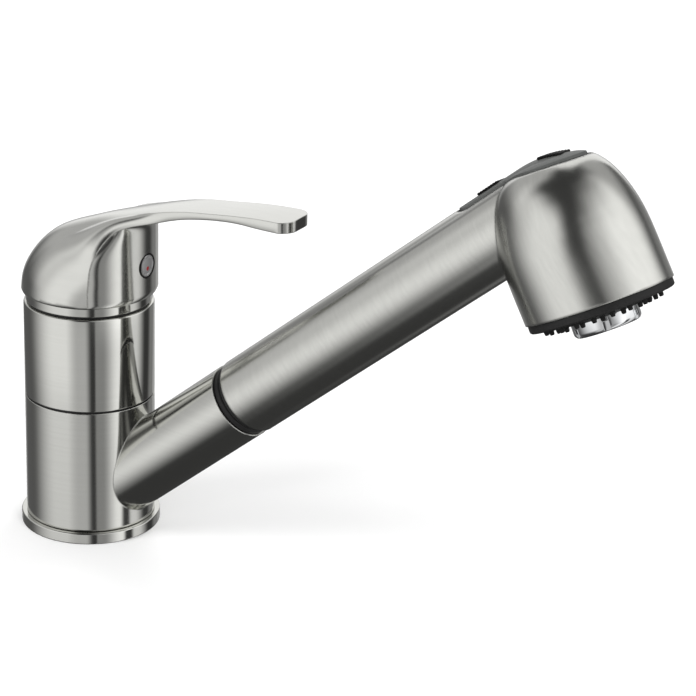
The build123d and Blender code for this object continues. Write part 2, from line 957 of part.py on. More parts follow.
def make_aerator_ring():
    shoulder = face_cone_height - aerator_shoulder
    edge = [(aerator_drop - height, aerator_radius - inset) for height, inset in aerator_edge]
    blank = turned_piece(
        [
            (-plate_depth, aerator_bore_radius),
            (-plate_depth, aerator_thread_radius - running_fit),
            (shoulder, aerator_thread_radius - running_fit),
            (shoulder, aerator_radius),
            *edge,
            (aerator_drop, aerator_bore_radius),
        ],
        face_side,
        face_axis,
    )
    with BuildPart() as ring:
        add(blank.part)
        # Notches for the aerator's key
        with BuildSketch(face_plane.offset(notch_top)):
            with PolarLocations(aerator_radius, notch_count, start_angle=notch_turn):
                Rectangle(2 * notch_depth, notch_width)
        extrude(amount=aerator_drop, mode=Mode.SUBTRACT)
    return ring


def make_aerator_insert():
    radius = aerator_bore_radius - running_fit
    bottom = aerator_drop - insert_recess
    return turned_piece(
        [(-plate_depth, 0), (-plate_depth, radius), (bottom, radius), (bottom, 0)],
        face_side,
        face_axis,
    )


# Cartridge, from the cup's floor upward

def make_cartridge_base():
    with BuildPart() as base:
        with BuildSketch(Plane.XY.offset(cup_floor)):
            Circle(cartridge_radius)
        extrude(amount=base_height)
        with BuildSketch(Plane.XY.offset(cup_floor)):
            with Locations(*port_places):
                Circle(duct_radius)
        extrude(amount=base_height, mode=Mode.SUBTRACT)
        with BuildSketch(Plane.XY.offset(cup_floor)):
            with Locations(*port_places):
                Circle(seal_radius)
        extrude(amount=seal_height, mode=Mode.SUBTRACT)
    return base


def make_port_seals():
    with BuildPart() as seals:
        with BuildSketch(Plane.XY.offset(cup_floor)):
            with Locations(*port_places):
                Circle(seal_radius)
                Circle(duct_radius, mode=Mode.SUBTRACT)
        extrude(amount=seal_height)
    return seals


def make_fixed_disc():
    bottom = cup_floor + base_height
    with BuildPart() as disc:
        with BuildSketch(Plane.XY.offset(bottom)):
            Circle(fixed_disc_radius)
        extrude(amount=disc_height)
        with BuildSketch(Plane.XY.offset(bottom)):
            with Locations(*port_places):
                Circle(duct_radius)
        extrude(amount=disc_height, mode=Mode.SUBTRACT)
    return disc


def make_moving_disc():
    bottom = cup_floor + base_height + disc_height
    with BuildPart() as disc:
        with BuildSketch(Plane.XY.offset(bottom)):
            Circle(moving_disc_radius)
        extrude(amount=disc_height)
        with BuildSketch(Plane.XY.offset(bottom)):
            Circle(mixing_radius)
        extrude(amount=disc_height / 2, mode=Mode.SUBTRACT)
    return disc


def make_disc_carrier():
    bottom = cup_floor + base_height + 2 * disc_height
    with BuildPart() as carrier:
        with BuildSketch(Plane.XY.offset(bottom)):
            Circle(moving_disc_radius)
        extrude(amount=carrier_height)
        with BuildSketch(Plane.XY.offset(bottom + carrier_floor)):
            Rectangle(2 * (finger_radius + slide_clearance), stem_width + 2 * slide_clearance)
        extrude(amount=carrier_height, mode=Mode.SUBTRACT)
    return carrier


def make_cartridge_body():
    bottom = cup_floor + base_height
    bore = rotor_flange_radius + slide_clearance
    neck = nut_bore_radius - assembly_clearance
    opening = rotor_radius + running_fit
    return turned_piece(
        [
            (fixed_disc_radius, bottom),
            (cartridge_radius, bottom),
            (cartridge_radius, cartridge_shoulder),
            (neck, cartridge_shoulder),
            (neck, nut_top),
            (opening, nut_top),
            (opening, rotor_shoulder + turn_gap),
            (bore, rotor_shoulder + turn_gap),
            (bore, bottom + disc_height),
            (fixed_disc_radius, bottom + disc_height),
        ],
        Plane.XZ,
        Axis.Z,
    )


def make_rotor():
    bottom = cup_floor + base_height + 2 * disc_height + carrier_height + turn_gap
    with BuildPart() as rotor:
        with BuildSketch(Plane.XZ):
            with BuildLine():
                Polyline(
                    (0, bottom),
                    (rotor_flange_radius, bottom),
                    (rotor_flange_radius, rotor_shoulder),
                    (rotor_radius, rotor_shoulder),
                    (rotor_radius, rotor_top),
                    (0, rotor_top),
                    close=True,
                )
            make_face()
        revolve(axis=Axis.Z)
        # Slot in which the stem rocks, wider to the rear above and to the front below
        with BuildSketch(Plane.XZ):
            with BuildLine():
                Polyline(
                    (-stem_swing_top, rotor_top),
                    (stem_half, rotor_top),
                    (stem_half, pivot_height),
                    (finger_swing, pivot_height - finger_shoulder),
                    (finger_swing, bottom),
                    (-stem_half, bottom),
                    (-stem_half, pivot_height),
                    close=True,
                )
            make_face()
        extrude(amount=stem_width / 2 + assembly_clearance, both=True, mode=Mode.SUBTRACT)
        with BuildSketch(Plane.XZ.shift_origin((0, 0, pivot_height))):
            Circle(stem_pin_radius)
        extrude(amount=rotor_radius - stem_pin_inset, both=True, mode=Mode.SUBTRACT)
    return rotor


def make_stem_pin():
    with BuildPart() as pin:
        with BuildSketch(Plane.XZ.shift_origin((0, 0, pivot_height))):
            Circle(stem_pin_radius)
        extrude(amount=rotor_radius - stem_pin_inset, both=True)
    return pin


def make_stem():
    half = stem_width / 2
    neck = finger_radius - finger_neck_inset
    with BuildPart() as stem:
        with BuildSketch(Plane.XZ):
            with BuildLine():
                Polyline(
                    (-half, pivot_height - finger_shoulder),
                    (-neck, pivot_height - finger_neck),
                    (-neck, finger_centre),
                    (neck, finger_centre),
                    (neck, pivot_height - finger_neck),
                    (half, pivot_height - finger_shoulder),
                    (half, stem_top),
                    (-half, stem_top),
                    close=True,
                )
            make_face()
            with Locations((0, finger_centre)):
                Circle(finger_radius)
        extrude(amount=half, both=True)
        with BuildSketch(Plane.XZ.shift_origin((0, 0, pivot_height))):
            Circle(stem_pin_radius + running_fit)
        extrude(amount=half, both=True, mode=Mode.SUBTRACT)
    return stem


def make_cartridge_nut():
    return turned_piece(
        [
            (nut_bore_radius, cartridge_shoulder),
            (nut_radius, cartridge_shoulder),
            (nut_radius, nut_top),
            (nut_bore_radius, nut_top),
        ],
        Plane.XZ,
        Axis.Z,
    )


# Lever

def arm_plane(angle, forward=0):
    """Section plane of the arm, turned up from level about a line under the blade."""
    normal = (sin(radians(angle)), 0, cos(radians(angle)))
    return Plane(origin=(fan_x + forward, 0, fan_height), x_dir=(0, 1, 0), z_dir=normal)


def plug_plane(distance):
    """Plane facing forward at the index plug's height."""
    return Plane(origin=(distance, 0, plug_height), x_dir=(0, 1, 0), z_dir=(1, 0, 0))


def arm_section(plane, near, far, root, side, side_at, shoulder, shoulder_at):
    """One closed section of the arm: flat inner edge, curved sides and a curved back."""
    with BuildSketch(plane) as section:
        with BuildLine():
            Line((-root, near), (root, near))
            ThreePointArc((root, near), (side, side_at), (shoulder, shoulder_at))
            ThreePointArc((shoulder, shoulder_at), (0, far), (-shoulder, shoulder_at))
            ThreePointArc((-shoulder, shoulder_at), (-side, side_at), (-root, near))
        make_face()
    return section


def blade_section(forward, near, far, half_width):
    """Section of the flat blade, as thick as its two heights and a little wider in the middle."""
    middle = (near + far) / 2
    edge = far - blade_edge_drop
    wide = half_width + blade_swell
    return arm_section(arm_plane(90, forward), near, far, half_width, wide, middle, half_width, edge)


def front_section(plane, reach, half_width):
    """One section of the block that fills the arch under the arm."""
    with BuildSketch(plane) as section:
        with Locations((0, reach / 2 + front_reach_start / 2)):
            Rectangle(2 * half_width, reach - front_reach_start)
    return section


def make_lever_shell():
    sections = [arm_section(arm_plane(angle), *shape) for angle, *shape in fan_sections]
    sections += [blade_section(*shape) for shape in blade_sections]
    # Block under the arch, from straight-sided sections turned about the same line
    blocks = [front_section(arm_plane(angle), reach, half) for angle, reach, half in front_sections]
    with BuildPart() as front:
        loft(sections=[block.sketch for block in blocks])
        # Round front, flared at the top into the blade's underside
        with BuildSketch(Plane.XZ):
            with BuildLine():
                rise = flare * sin(radians(flare_turn))
                start = Line((lever_front_radius, fan_height), (lever_front_radius, flare_top - rise))
                curve = JernArc(start=start @ 1, tangent=(0, 1), radius=flare, arc_size=-flare_turn)
                edge = Line(curve @ 1, (curve @ 1) + (0, flare_top))
                Polyline(edge @ 1, (0, 2 * flare_top), (0, fan_height), start @ 0)
            make_face()
        revolve(axis=Axis.Z, mode=Mode.INTERSECT)
    with BuildPart() as lever:
        loft(sections=[section.sketch for section in sections])
        # Rounded corners at the blade's tip
        with BuildSketch(Plane.XY.offset(fan_height)):
            with Locations((lever_tip - 3 * tip_corner, 0)):
                Rectangle(4 * tip_corner, 3 * tip_half_width, align=(Align.MIN, Align.CENTER))
            with Locations((lever_tip, 0)):
                RectangleRounded(
                    6 * tip_corner,
                    2 * tip_half_width,
                    tip_corner,
                    align=(Align.MAX, Align.CENTER),
                    mode=Mode.SUBTRACT,
                )
        extrude(amount=3 * body_radius, mode=Mode.SUBTRACT)
        add(front.part)
        # Bevelled lip just above the collar
        with BuildSketch(Plane.XZ):
            with BuildLine():
                Polyline(
                    (0, fan_height - lip_bevel),
                    (2 * body_radius, fan_height - lip_bevel),
                    (2 * body_radius, lever_lip_height + lip_bevel),
                    (lever_front_radius, lever_lip_height + lip_bevel),
                    (lever_front_radius - lip_bevel / 2, lever_lip_height),
                    (0, lever_lip_height),
                    close=True,
                )
            make_face()
        revolve(axis=Axis.Z, mode=Mode.SUBTRACT)
        # Hollow over the cartridge, left solid in the middle for the stem
        with BuildSketch(Plane.XZ):
            with BuildLine():
                Polyline(
                    (0, lever_lip_height),
                    (skirt_inner_radius, lever_lip_height),
                    (skirt_inner_radius, hollow_top - hollow_slope),
                    (skirt_inner_radius - hollow_slope / 2, hollow_top),
                    (boss_radius, hollow_top),
                    (boss_radius, boss_bottom),
                    (0, boss_bottom),
                    close=True,
                )
            make_face()
        revolve(axis=Axis.Z, mode=Mode.SUBTRACT)
        # Square socket for the stem
        with BuildSketch(Plane.XY.offset(boss_bottom)):
            Rectangle(stem_width + 2 * running_fit, stem_width + 2 * running_fit)
        extrude(amount=stem_top + socket_clearance - boss_bottom, mode=Mode.SUBTRACT)
        # Grub screw's hole, with the index plug's seat in the front
        with BuildSketch(plug_plane(0)):
            Circle(grub_hole_radius)
        extrude(amount=2 * body_radius, mode=Mode.SUBTRACT)
        with BuildSketch(plug_plane(plug_seat)):
            Circle(plug_radius + assembly_clearance)
        extrude(amount=body_radius, mode=Mode.SUBTRACT)
    return lever


def make_grub_screw():
    with BuildPart() as screw:
        with BuildSketch(plug_plane(stem_width / 2)):
            Circle(grub_hole_radius - running_fit)
        extrude(amount=grub_length)
        with BuildSketch(plug_plane(stem_width / 2 + grub_length)):
            RegularPolygon(radius=hex_radius, side_count=6)
        extrude(amount=-hex_depth, mode=Mode.SUBTRACT)
    return screw


def make_index_plug():
    with BuildPart() as plug:
        with BuildSketch(plug_plane(plug_seat)):
            Circle(plug_radius)
        extrude(amount=lever_front_radius - plug_seat)
        with BuildSketch(plug_plane(plug_seat)):
            Circle(grub_hole_radius - running_fit)
        extrude(amount=-plug_tail)
    return plug


def main():
    gap_top = base_ring_height + turn_gap
    pieces = {
        "base_ring": make_base_ring(),
        "base_gasket": make_base_gasket(),
        "core_body": make_core_body(),
        "lower_slip_ring": make_slip_ring(gap_top + slip_ring_edge, lower_slip_ring_height),
        "upper_slip_ring": make_slip_ring(seam_height - upper_slip_ring_drop, upper_slip_ring_height),
        "seam_washer": make_seam_washer(),
        "upper_sleeve": make_upper_sleeve(),
        "gap_ring": make_gap_ring(),
        "collar": make_collar(),
        "spout_body": make_spout_body(),
        "dock_liner": make_dock_liner(),
        "hose": make_hose(),
        "hose_fitting": make_hose_fitting(),
        "wand_spigot": make_wand_spigot(),
        "wand_shell": make_wand_shell(),
        "water_pipe": make_water_pipe(),
        "check_valve": make_check_valve(),
        "diverter_body": make_diverter_body(),
        "diverter_plunger": make_diverter_plunger(),
        "rocker_panel": make_rocker_panel(),
        "rocker_pin": make_rocker_pin(),
        "panel_gasket": make_panel_gasket(),
        "distributor": make_distributor(),
        "face_plate": make_face_plate(),
        "spray_nozzles": make_spray_nozzles(),
        "aerator_ring": make_aerator_ring(),
        "aerator_insert": make_aerator_insert(),
        "cartridge_base": make_cartridge_base(),
        "port_seals": make_port_seals(),
        "fixed_disc": make_fixed_disc(),
        "moving_disc": make_moving_disc(),
        "disc_carrier": make_disc_carrier(),
        "cartridge_body": make_cartridge_body(),
        "cartridge_nut": make_cartridge_nut(),
        "cartridge_rotor": make_rotor(),
        "stem_pin": make_stem_pin(),
        "stem": make_stem(),
        "lever_shell": make_lever_shell(),
        "grub_screw": make_grub_screw(),
        "index_plug": make_index_plug(),
    }
    for name, piece in pieces.items():
        piece.part.label = name
        export_step(piece.part, f"parts/{name}.step")


main()
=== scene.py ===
import bpy, bmesh, math
from mathutils import Matrix, Vector


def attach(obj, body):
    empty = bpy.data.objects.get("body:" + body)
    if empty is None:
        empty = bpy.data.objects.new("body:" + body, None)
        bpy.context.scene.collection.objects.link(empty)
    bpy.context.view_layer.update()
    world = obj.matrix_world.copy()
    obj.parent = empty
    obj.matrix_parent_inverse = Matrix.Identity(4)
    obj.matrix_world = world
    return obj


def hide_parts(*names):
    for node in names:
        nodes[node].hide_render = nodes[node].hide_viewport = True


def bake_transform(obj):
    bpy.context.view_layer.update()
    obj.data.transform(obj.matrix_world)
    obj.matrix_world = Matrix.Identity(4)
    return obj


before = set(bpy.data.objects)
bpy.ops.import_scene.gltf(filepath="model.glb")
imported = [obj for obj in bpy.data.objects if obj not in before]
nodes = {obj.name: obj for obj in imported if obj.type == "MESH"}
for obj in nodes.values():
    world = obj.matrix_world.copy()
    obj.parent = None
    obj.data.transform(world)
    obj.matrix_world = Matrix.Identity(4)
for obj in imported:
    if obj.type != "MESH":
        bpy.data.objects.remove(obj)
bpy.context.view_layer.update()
mm = 0.001

print("stage 1: camera")

camera = {
    "place": (0.48033, -0.72035, 0.40179),
    "right": (0.8817, 0.4709, 0.0274),
    "up": (-0.1923, 0.3058, 0.9325),
    "lens": 132.04,
    "sensor": 36.0,
    "clip": (0.05, 20.0),
}


def addCamera():
    data = bpy.data.cameras.new("mainCamera")
    data.lens = camera["lens"]
    data.sensor_width = camera["sensor"]
    data.clip_start, data.clip_end = camera["clip"]
    obj = bpy.data.objects.new("mainCamera", data)
    bpy.context.scene.collection.objects.link(obj)
    right, up = Vector(camera["right"]).normalized(), Vector(camera["up"]).normalized()
    back = right.cross(up).normalized()
    turn = Matrix((right, back.cross(right), back)).transposed().to_4x4()
    obj.matrix_world = Matrix.Translation(camera["place"]) @ turn
    bpy.context.scene.camera = obj


addCamera()

# Directions of the spout and of the hand spray, as in the CAD
spout = {
    "axisHeight": 7.5,
    "elevation": 39.5,
    "turn": 5.2,
    "bellTilt": 98.9,
    "faceTilt": 102.2,
    "faceAlong": 226.4,
    "faceDrop": 35.3,
}
lean, turn = math.radians(spout["elevation"]), math.radians(spout["turn"])
spoutStart = Vector((0, 0, spout["axisHeight"] * mm))
spoutDirection = Vector((math.cos(lean), 0, math.sin(lean)))
acrossPlain = Vector((0, -1, 0))
heightPlain = acrossPlain.cross(spoutDirection)
across = acrossPlain * math.cos(turn) + heightPlain * math.sin(turn)
heightWay = across.cross(spoutDirection)


def onWand(along, height=0.0, side=0.0):
    # the point this far along the spout's axis, out of its top and to its side
    return spoutStart + (spoutDirection * along + heightWay * height + across * side) * mm


def placeFor(origin, zWay, xWay):
    # the frame at origin whose z is zWay and whose x is the nearest to xWay
    z = zWay.normalized()
    x = (xWay - z * xWay.dot(z)).normalized()
    place = Matrix((x, z.cross(x), z)).transposed().to_4x4()
    return Matrix.Translation(origin) @ place


def alongSpout(distance):
    return placeFor(onWand(distance), spoutDirection, heightWay)


def turnedDown(angle):
    a = math.radians(angle)
    return spoutDirection * math.cos(a) - heightWay * math.sin(a)


faceCentre = onWand(spout["faceAlong"], -spout["faceDrop"])
bellPlace = placeFor(faceCentre, turnedDown(spout["bellTilt"]), across)
facePlace = placeFor(faceCentre, turnedDown(spout["faceTilt"]), across)
upright = Matrix.Identity(4)

print("stage 2: tools")


def deselect():
    if bpy.context.object and bpy.context.object.mode != "OBJECT":
        bpy.ops.object.mode_set(mode="OBJECT")
    bpy.ops.object.select_all(action="DESELECT")


def activate(obj):
    deselect()
    obj.select_set(True)
    bpy.context.view_layer.objects.active = obj


def settle(obj, place=upright):
    # puts a piece drawn upright at the origin into its place, and the place into its mesh
    activate(obj)
    obj.matrix_world = place @ obj.matrix_world
    bpy.ops.object.transform_apply(location=True, rotation=True, scale=True)
    return obj


def startPiece(name):
    obj = bpy.context.object
    obj.name = name
    obj.data.name = name
    bpy.ops.object.transform_apply(location=True, rotation=True, scale=True)
    bpy.ops.object.mode_set(mode="EDIT")
    bpy.ops.mesh.select_all(action="SELECT")
    return obj


# Points nearer than this (mm) become one, and a ring on the axis is drawn this small
nearPoints = 0.002
nearAxis = 0.001


def closePiece(obj, smooth=32):
    bpy.ops.object.mode_set(mode="EDIT")
    bpy.ops.mesh.select_all(action="SELECT")
    bpy.ops.mesh.remove_doubles(threshold=nearPoints * mm)
    bpy.ops.mesh.normals_make_consistent(inside=False)
    bpy.ops.object.mode_set(mode="OBJECT")
    bpy.ops.object.shade_smooth_by_angle(angle=math.radians(smooth))
    return obj


def turned(name, rings, place=upright, steps=144, edge=0.0, smooth=32):
    # rings are (radius, height) in mm, from the first to the last; the last one may meet the first
    deselect()
    radius, height = rings[0]
    bpy.ops.mesh.primitive_circle_add(
        vertices=steps, radius=max(radius, nearAxis) * mm, location=(0, 0, height * mm)
    )
    obj = startPiece(name)
    for nextRadius, nextHeight in rings[1:]:
        rise = (0, 0, (nextHeight - height) * mm)
        bpy.ops.mesh.extrude_region_move(TRANSFORM_OT_translate={"value": rise})
        share = max(nextRadius, nearAxis) / max(radius, nearAxis)
        bpy.ops.transform.resize(value=(share, share, 1), center_override=(0, 0, nextHeight * mm))
        radius, height = nextRadius, nextHeight
    closePiece(obj, smooth)
    if edge:
        roundEdges(obj, edge, smooth)
    return settle(obj, place)


def smoothed(obj, angle):
    activate(obj)
    bpy.ops.object.shade_smooth_by_angle(angle=math.radians(angle))
    return obj


def roundEdges(obj, width, angle=32, segments=3):
    # rounds the edges that are sharper than angle
    activate(obj)
    bevel = obj.modifiers.new("roundedEdges", "BEVEL")
    bevel.width = width * mm
    bevel.segments = segments
    bevel.limit_method = "ANGLE"
    bevel.angle_limit = math.radians(angle)
    bpy.ops.object.modifier_apply(modifier=bevel.name)
    return smoothed(obj, angle)


def editWhole(obj):
    activate(obj)
    bpy.ops.object.mode_set(mode="EDIT")
    bpy.ops.mesh.select_all(action="SELECT")


def cleaned(obj):
    # merges points that a cut left nearly in one place, and drops faces without area
    nearest = 2 * nearPoints * mm
    editWhole(obj)
    bpy.ops.mesh.remove_doubles(threshold=nearest)
    bpy.ops.mesh.dissolve_degenerate(threshold=nearest)
    bpy.ops.mesh.delete_loose(use_verts=True, use_edges=True, use_faces=False)
    bpy.ops.object.mode_set(mode="OBJECT")
    return obj


def combine(obj, other, way):
    # joins to obj, or cuts out of it, another piece, which is used up
    activate(obj)
    cut = obj.modifiers.new("combine", "BOOLEAN")
    cut.operation = way
    cut.solver = "EXACT"
    cut.object = other
    bpy.ops.object.modifier_apply(modifier=cut.name)
    bpy.data.objects.remove(other)
    return obj


print("stage 3: studio")

studio = {
    "tentRadius": 8.0,
    "floorHalf": 6.0,
    "floorColour": (0.9, 0.9, 0.9, 1),
    "base": 0.05,
    "worldShare": 0.8,
    "aim": (0.08, 0, 0.08),
    "lamps": [
        # name, place, size, power
        ("keyLamp", (-0.9, -1.3, 1.5), 0.9, 20.0),
        ("fillLamp", (1.5, -0.9, 1.1), 0.9, 12.0),
        ("backLamp", (0.2, 1.4, 1.6), 1.0, 12.0),
    ],
    # soft boxes as the metal sees them: level, azimuth from and to with the softness of each edge
    # (0 towards -Y, 90 towards +X), then the same for the elevation
    "boxes": [
        (1.02, -62, 66, 3, 22, -35, 52, 40, 28),
        (1.22, 60, 64, 143, 34, 4, 24, 56, 44),
        (0.20, 33, 14, 60, 20, 12, 10, 44, 14),
        (0.85, 70, 30, 91, 8, -60, 10, 8, 20),
        (0.27, 43, 3, 91, 8, -70, 10, 8, 20),
        (0.54, 4, 20, 31, 12, -58, 24, 8, 20),
        (0.80, 107, 8, 132, 26, -60, 20, 4, 16),
        (0.20, 160, 14, 181, 2, -60, 20, 10, 16),
        (1.05, -181, 2, -130, 18, 0, 14, 74, 20),
        (0.42, 150, 20, 181, 2, 22, 22, 62, 20),
        (0.50, -128, 16, -60, 26, 10, 28, 68, 24),
        (0.40, -181, 2, -126, 16, -28, 16, 0, 16),
        (0.07, -128, 16, -85, 20, -60, 20, 10, 28),
    ],
}


def shaderTree(name):
    material = bpy.data.materials.new(name)
    material.use_nodes = True
    material.node_tree.nodes.clear()
    return material, material.node_tree


def addNode(tree, kind, **settings):
    node = tree.nodes.new(kind)
    for key, value in settings.items():
        setattr(node, key, value)
    return node


def mathNode(tree, operation, first, second=None):
    node = addNode(tree, "ShaderNodeMath", operation=operation)
    for socket, value in zip(node.inputs, (first, second)):
        if value is None:
            continue
        if isinstance(value, (int, float)):
            socket.default_value = value
        else:
            tree.links.new(value, socket)
    return node.outputs[0]


def stepNode(tree, value, middle, softness, falling=False):
    # rises, or falls, smoothly from 0 to 1 over softness degrees around middle
    node = addNode(tree, "ShaderNodeMapRange", interpolation_type="SMOOTHSTEP")
    tree.links.new(value, node.inputs["Value"])
    node.inputs["From Min"].default_value = middle - softness / 2
    node.inputs["From Max"].default_value = middle + softness / 2
    node.inputs["To Min"].default_value = 1.0 if falling else 0.0
    node.inputs["To Max"].default_value = 0.0 if falling else 1.0
    return node.outputs[0]


def tentMaterial():
    material, tree = shaderTree("tentCloth")
    coordinates = addNode(tree, "ShaderNodeTexCoord")
    direction = addNode(tree, "ShaderNodeVectorMath", operation="NORMALIZE")
    tree.links.new(coordinates.outputs["Object"], direction.inputs[0])
    parts = addNode(tree, "ShaderNodeSeparateXYZ")
    tree.links.new(direction.outputs[0], parts.inputs[0])
    minusY = mathNode(tree, "MULTIPLY", parts.outputs["Y"], -1.0)
    azimuth = mathNode(tree, "DEGREES", mathNode(tree, "ARCTAN2", parts.outputs["X"], minusY))
    elevation = mathNode(tree, "DEGREES", mathNode(tree, "ARCSINE", parts.outputs["Z"]))
    total = studio["base"]
    for level, left, leftSoft, right, rightSoft, low, lowSoft, high, highSoft in studio["boxes"]:
        fromLeft = stepNode(tree, azimuth, left, leftSoft)
        toRight = stepNode(tree, azimuth, right, rightSoft, True)
        fromLow = stepNode(tree, elevation, low, lowSoft)
        toHigh = stepNode(tree, elevation, high, highSoft, True)
        wide = mathNode(tree, "MULTIPLY", fromLeft, toRight)
        tall = mathNode(tree, "MULTIPLY", fromLow, toHigh)
        light = mathNode(tree, "MULTIPLY", mathNode(tree, "MULTIPLY", wide, tall), level)
        total = mathNode(tree, "ADD", light, total)
    glow = addNode(tree, "ShaderNodeEmission")
    tree.links.new(total, glow.inputs["Strength"])
    output = addNode(tree, "ShaderNodeOutputMaterial")
    tree.links.new(glow.outputs[0], output.inputs[0])
    return material


def addStudio():
    deselect()
    bpy.ops.mesh.primitive_uv_sphere_add(
        segments=64, ring_count=32, radius=studio["tentRadius"], location=(0, 0, 0)
    )
    tent = bpy.context.object
    tent.name = "lightTent"
    tent.data.materials.append(tentMaterial())
    tent.visible_camera = False
    tent.visible_diffuse = False
    tent.visible_shadow = False
    deselect()
    bpy.ops.mesh.primitive_plane_add(size=2 * studio["floorHalf"], location=(0, 0, 0))
    floor = bpy.context.object
    floor.name = "floor"
    material, tree = shaderTree("paleFloor")
    cloth = addNode(tree, "ShaderNodeBsdfDiffuse")
    cloth.inputs["Color"].default_value = studio["floorColour"]
    output = addNode(tree, "ShaderNodeOutputMaterial")
    tree.links.new(cloth.outputs[0], output.inputs[0])
    floor.data.materials.append(material)
    floor.visible_glossy = False
    for name, place, size, power in studio["lamps"]:
        data = bpy.data.lights.new(name, "AREA")
        data.size = size
        data.energy = power
        lamp = bpy.data.objects.new(name, data)
        lamp.location = place
        way = Vector(studio["aim"]) - Vector(place)
        lamp.rotation_euler = way.to_track_quat("-Z", "Y").to_euler()
        lamp.visible_glossy = False
        bpy.context.scene.collection.objects.link(lamp)
    world = bpy.data.worlds.new("plainWorld")
    world.use_nodes = True
    tree = world.node_tree
    background = tree.nodes["Background"]
    background.inputs["Color"].default_value = (1, 1, 1, 1)
    path = addNode(tree, "ShaderNodeLightPath")
    seen = mathNode(tree, "MAXIMUM", path.outputs["Is Camera Ray"], path.outputs["Is Glossy Ray"])
    seen = mathNode(tree, "MAXIMUM", seen, path.outputs["Is Transmission Ray"])
    share = studio["worldShare"]
    strength = mathNode(tree, "ADD", mathNode(tree, "MULTIPLY", seen, 1 - share), share)
    tree.links.new(strength, background.inputs["Strength"])
    bpy.context.scene.world = world
    bpy.context.scene.view_settings.view_transform = "Standard"


addStudio()

print("stage 4: finishes")


wear = {
    "toneFrom": 0.3,
    "toneTo": 0.7,
    "detail": 3.0,
    "broadScale": 45.0,
    "depth": 0.0002,
    "edgeSamples": 6,
}
weave = {
    "metal": 0.9,
    "rough": 0.38,
    "uneven": 0.45,
    "bump": 0.6,
    "depth": 0.0004,
}


def surface(name, metal):
    # a material with its shader and the object's own coordinates
    material, tree = shaderTree(name)
    output = addNode(tree, "ShaderNodeOutputMaterial")
    shader = addNode(tree, "ShaderNodeBsdfPrincipled")
    shader.inputs["Metallic"].default_value = metal
    tree.links.new(shader.outputs[0], output.inputs[0])
    coordinates = addNode(tree, "ShaderNodeTexCoord").outputs["Object"]
    return material, tree, shader, coordinates


def turnTo(tree, vector, axis):
    # the coordinates as seen from a place's own axes
    turn = addNode(tree, "ShaderNodeMapping")
    turn.inputs["Rotation"].default_value = axis.to_3x3().transposed().to_euler()
    tree.links.new(vector, turn.inputs["Vector"])
    return turn.outputs[0]


def noiseNode(tree, vector, scale):
    noise = addNode(tree, "ShaderNodeTexNoise")
    noise.inputs["Scale"].default_value = scale
    noise.inputs["Detail"].default_value = wear["detail"]
    tree.links.new(vector, noise.inputs["Vector"])
    return noise.outputs["Fac"]


def mixTones(tree, value, colour, uneven):
    # darker and lighter shades of a colour
    tone = addNode(tree, "ShaderNodeValToRGB")
    dark, light = tone.color_ramp.elements
    dark.position, light.position = wear["toneFrom"], wear["toneTo"]
    dark.color = [c * (1 - uneven) for c in colour] + [1]
    light.color = [min(1, c * (1 + uneven)) for c in colour] + [1]
    tree.links.new(value, tone.inputs[0])
    return tone.outputs[0]


def addRelief(tree, shader, height, strength, depth):
    relief = addNode(tree, "ShaderNodeBump")
    relief.inputs["Strength"].default_value = strength
    relief.inputs["Distance"].default_value = depth
    tree.links.new(height, relief.inputs["Height"])
    tree.links.new(relief.outputs[0], shader.inputs["Normal"])
    return relief


def finish(
    name, colour, metal, rough, grain, bump, uneven, roughUneven=0.08, axis=upright, edge=0.0, gloss=0.5
):
    # one solid finish: grain, drawn out along or round its axis, breaks up its colour, gloss and surface
    material, tree, shader, coordinates = surface(name, metal)
    shader.inputs["Specular IOR Level"].default_value = gloss
    stretch = addNode(tree, "ShaderNodeMapping")
    stretch.inputs["Scale"].default_value = grain
    tree.links.new(turnTo(tree, coordinates, axis), stretch.inputs["Vector"])
    fine = noiseNode(tree, stretch.outputs[0], 1.0)
    broad = noiseNode(tree, coordinates, wear["broadScale"])
    tree.links.new(mixTones(tree, fine, colour, uneven), shader.inputs["Base Color"])
    spread = mathNode(tree, "MULTIPLY", mathNode(tree, "SUBTRACT", broad, 0.5), roughUneven)
    tree.links.new(mathNode(tree, "ADD", spread, rough), shader.inputs["Roughness"])
    relief = addRelief(tree, shader, fine, bump, wear["depth"])
    if edge:
        rounded = addNode(tree, "ShaderNodeBevel", samples=wear["edgeSamples"])
        rounded.inputs["Radius"].default_value = edge * mm
        tree.links.new(rounded.outputs[0], relief.inputs["Normal"])
    return material


def braidFinish(name, colour, around, pitch):
    # woven wire over the hose: two sets of strands that cross, in the hose's own direction
    material, tree, shader, coordinates = surface(name, weave["metal"])
    shader.inputs["Roughness"].default_value = weave["rough"]
    shift = addNode(tree, "ShaderNodeVectorMath", operation="SUBTRACT")
    shift.inputs[1].default_value = spoutStart
    tree.links.new(coordinates, shift.inputs[0])
    parts = addNode(tree, "ShaderNodeSeparateXYZ")
    tree.links.new(turnTo(tree, shift.outputs[0], alongSpout(0)), parts.inputs[0])
    angle = mathNode(tree, "ARCTAN2", parts.outputs["Y"], parts.outputs["X"])
    angle = mathNode(tree, "MULTIPLY", angle, around)
    run = mathNode(tree, "MULTIPLY", parts.outputs["Z"], 2 * math.pi / (pitch * mm))
    strands = []
    for operation in ("ADD", "SUBTRACT"):
        wave = mathNode(tree, "SINE", mathNode(tree, operation, angle, run))
        strands.append(mathNode(tree, "ABSOLUTE", wave))
    height = mathNode(tree, "MAXIMUM", *strands)
    tree.links.new(mixTones(tree, height, colour, weave["uneven"]), shader.inputs["Base Color"])
    addRelief(tree, shader, height, weave["bump"], weave["depth"])
    return material


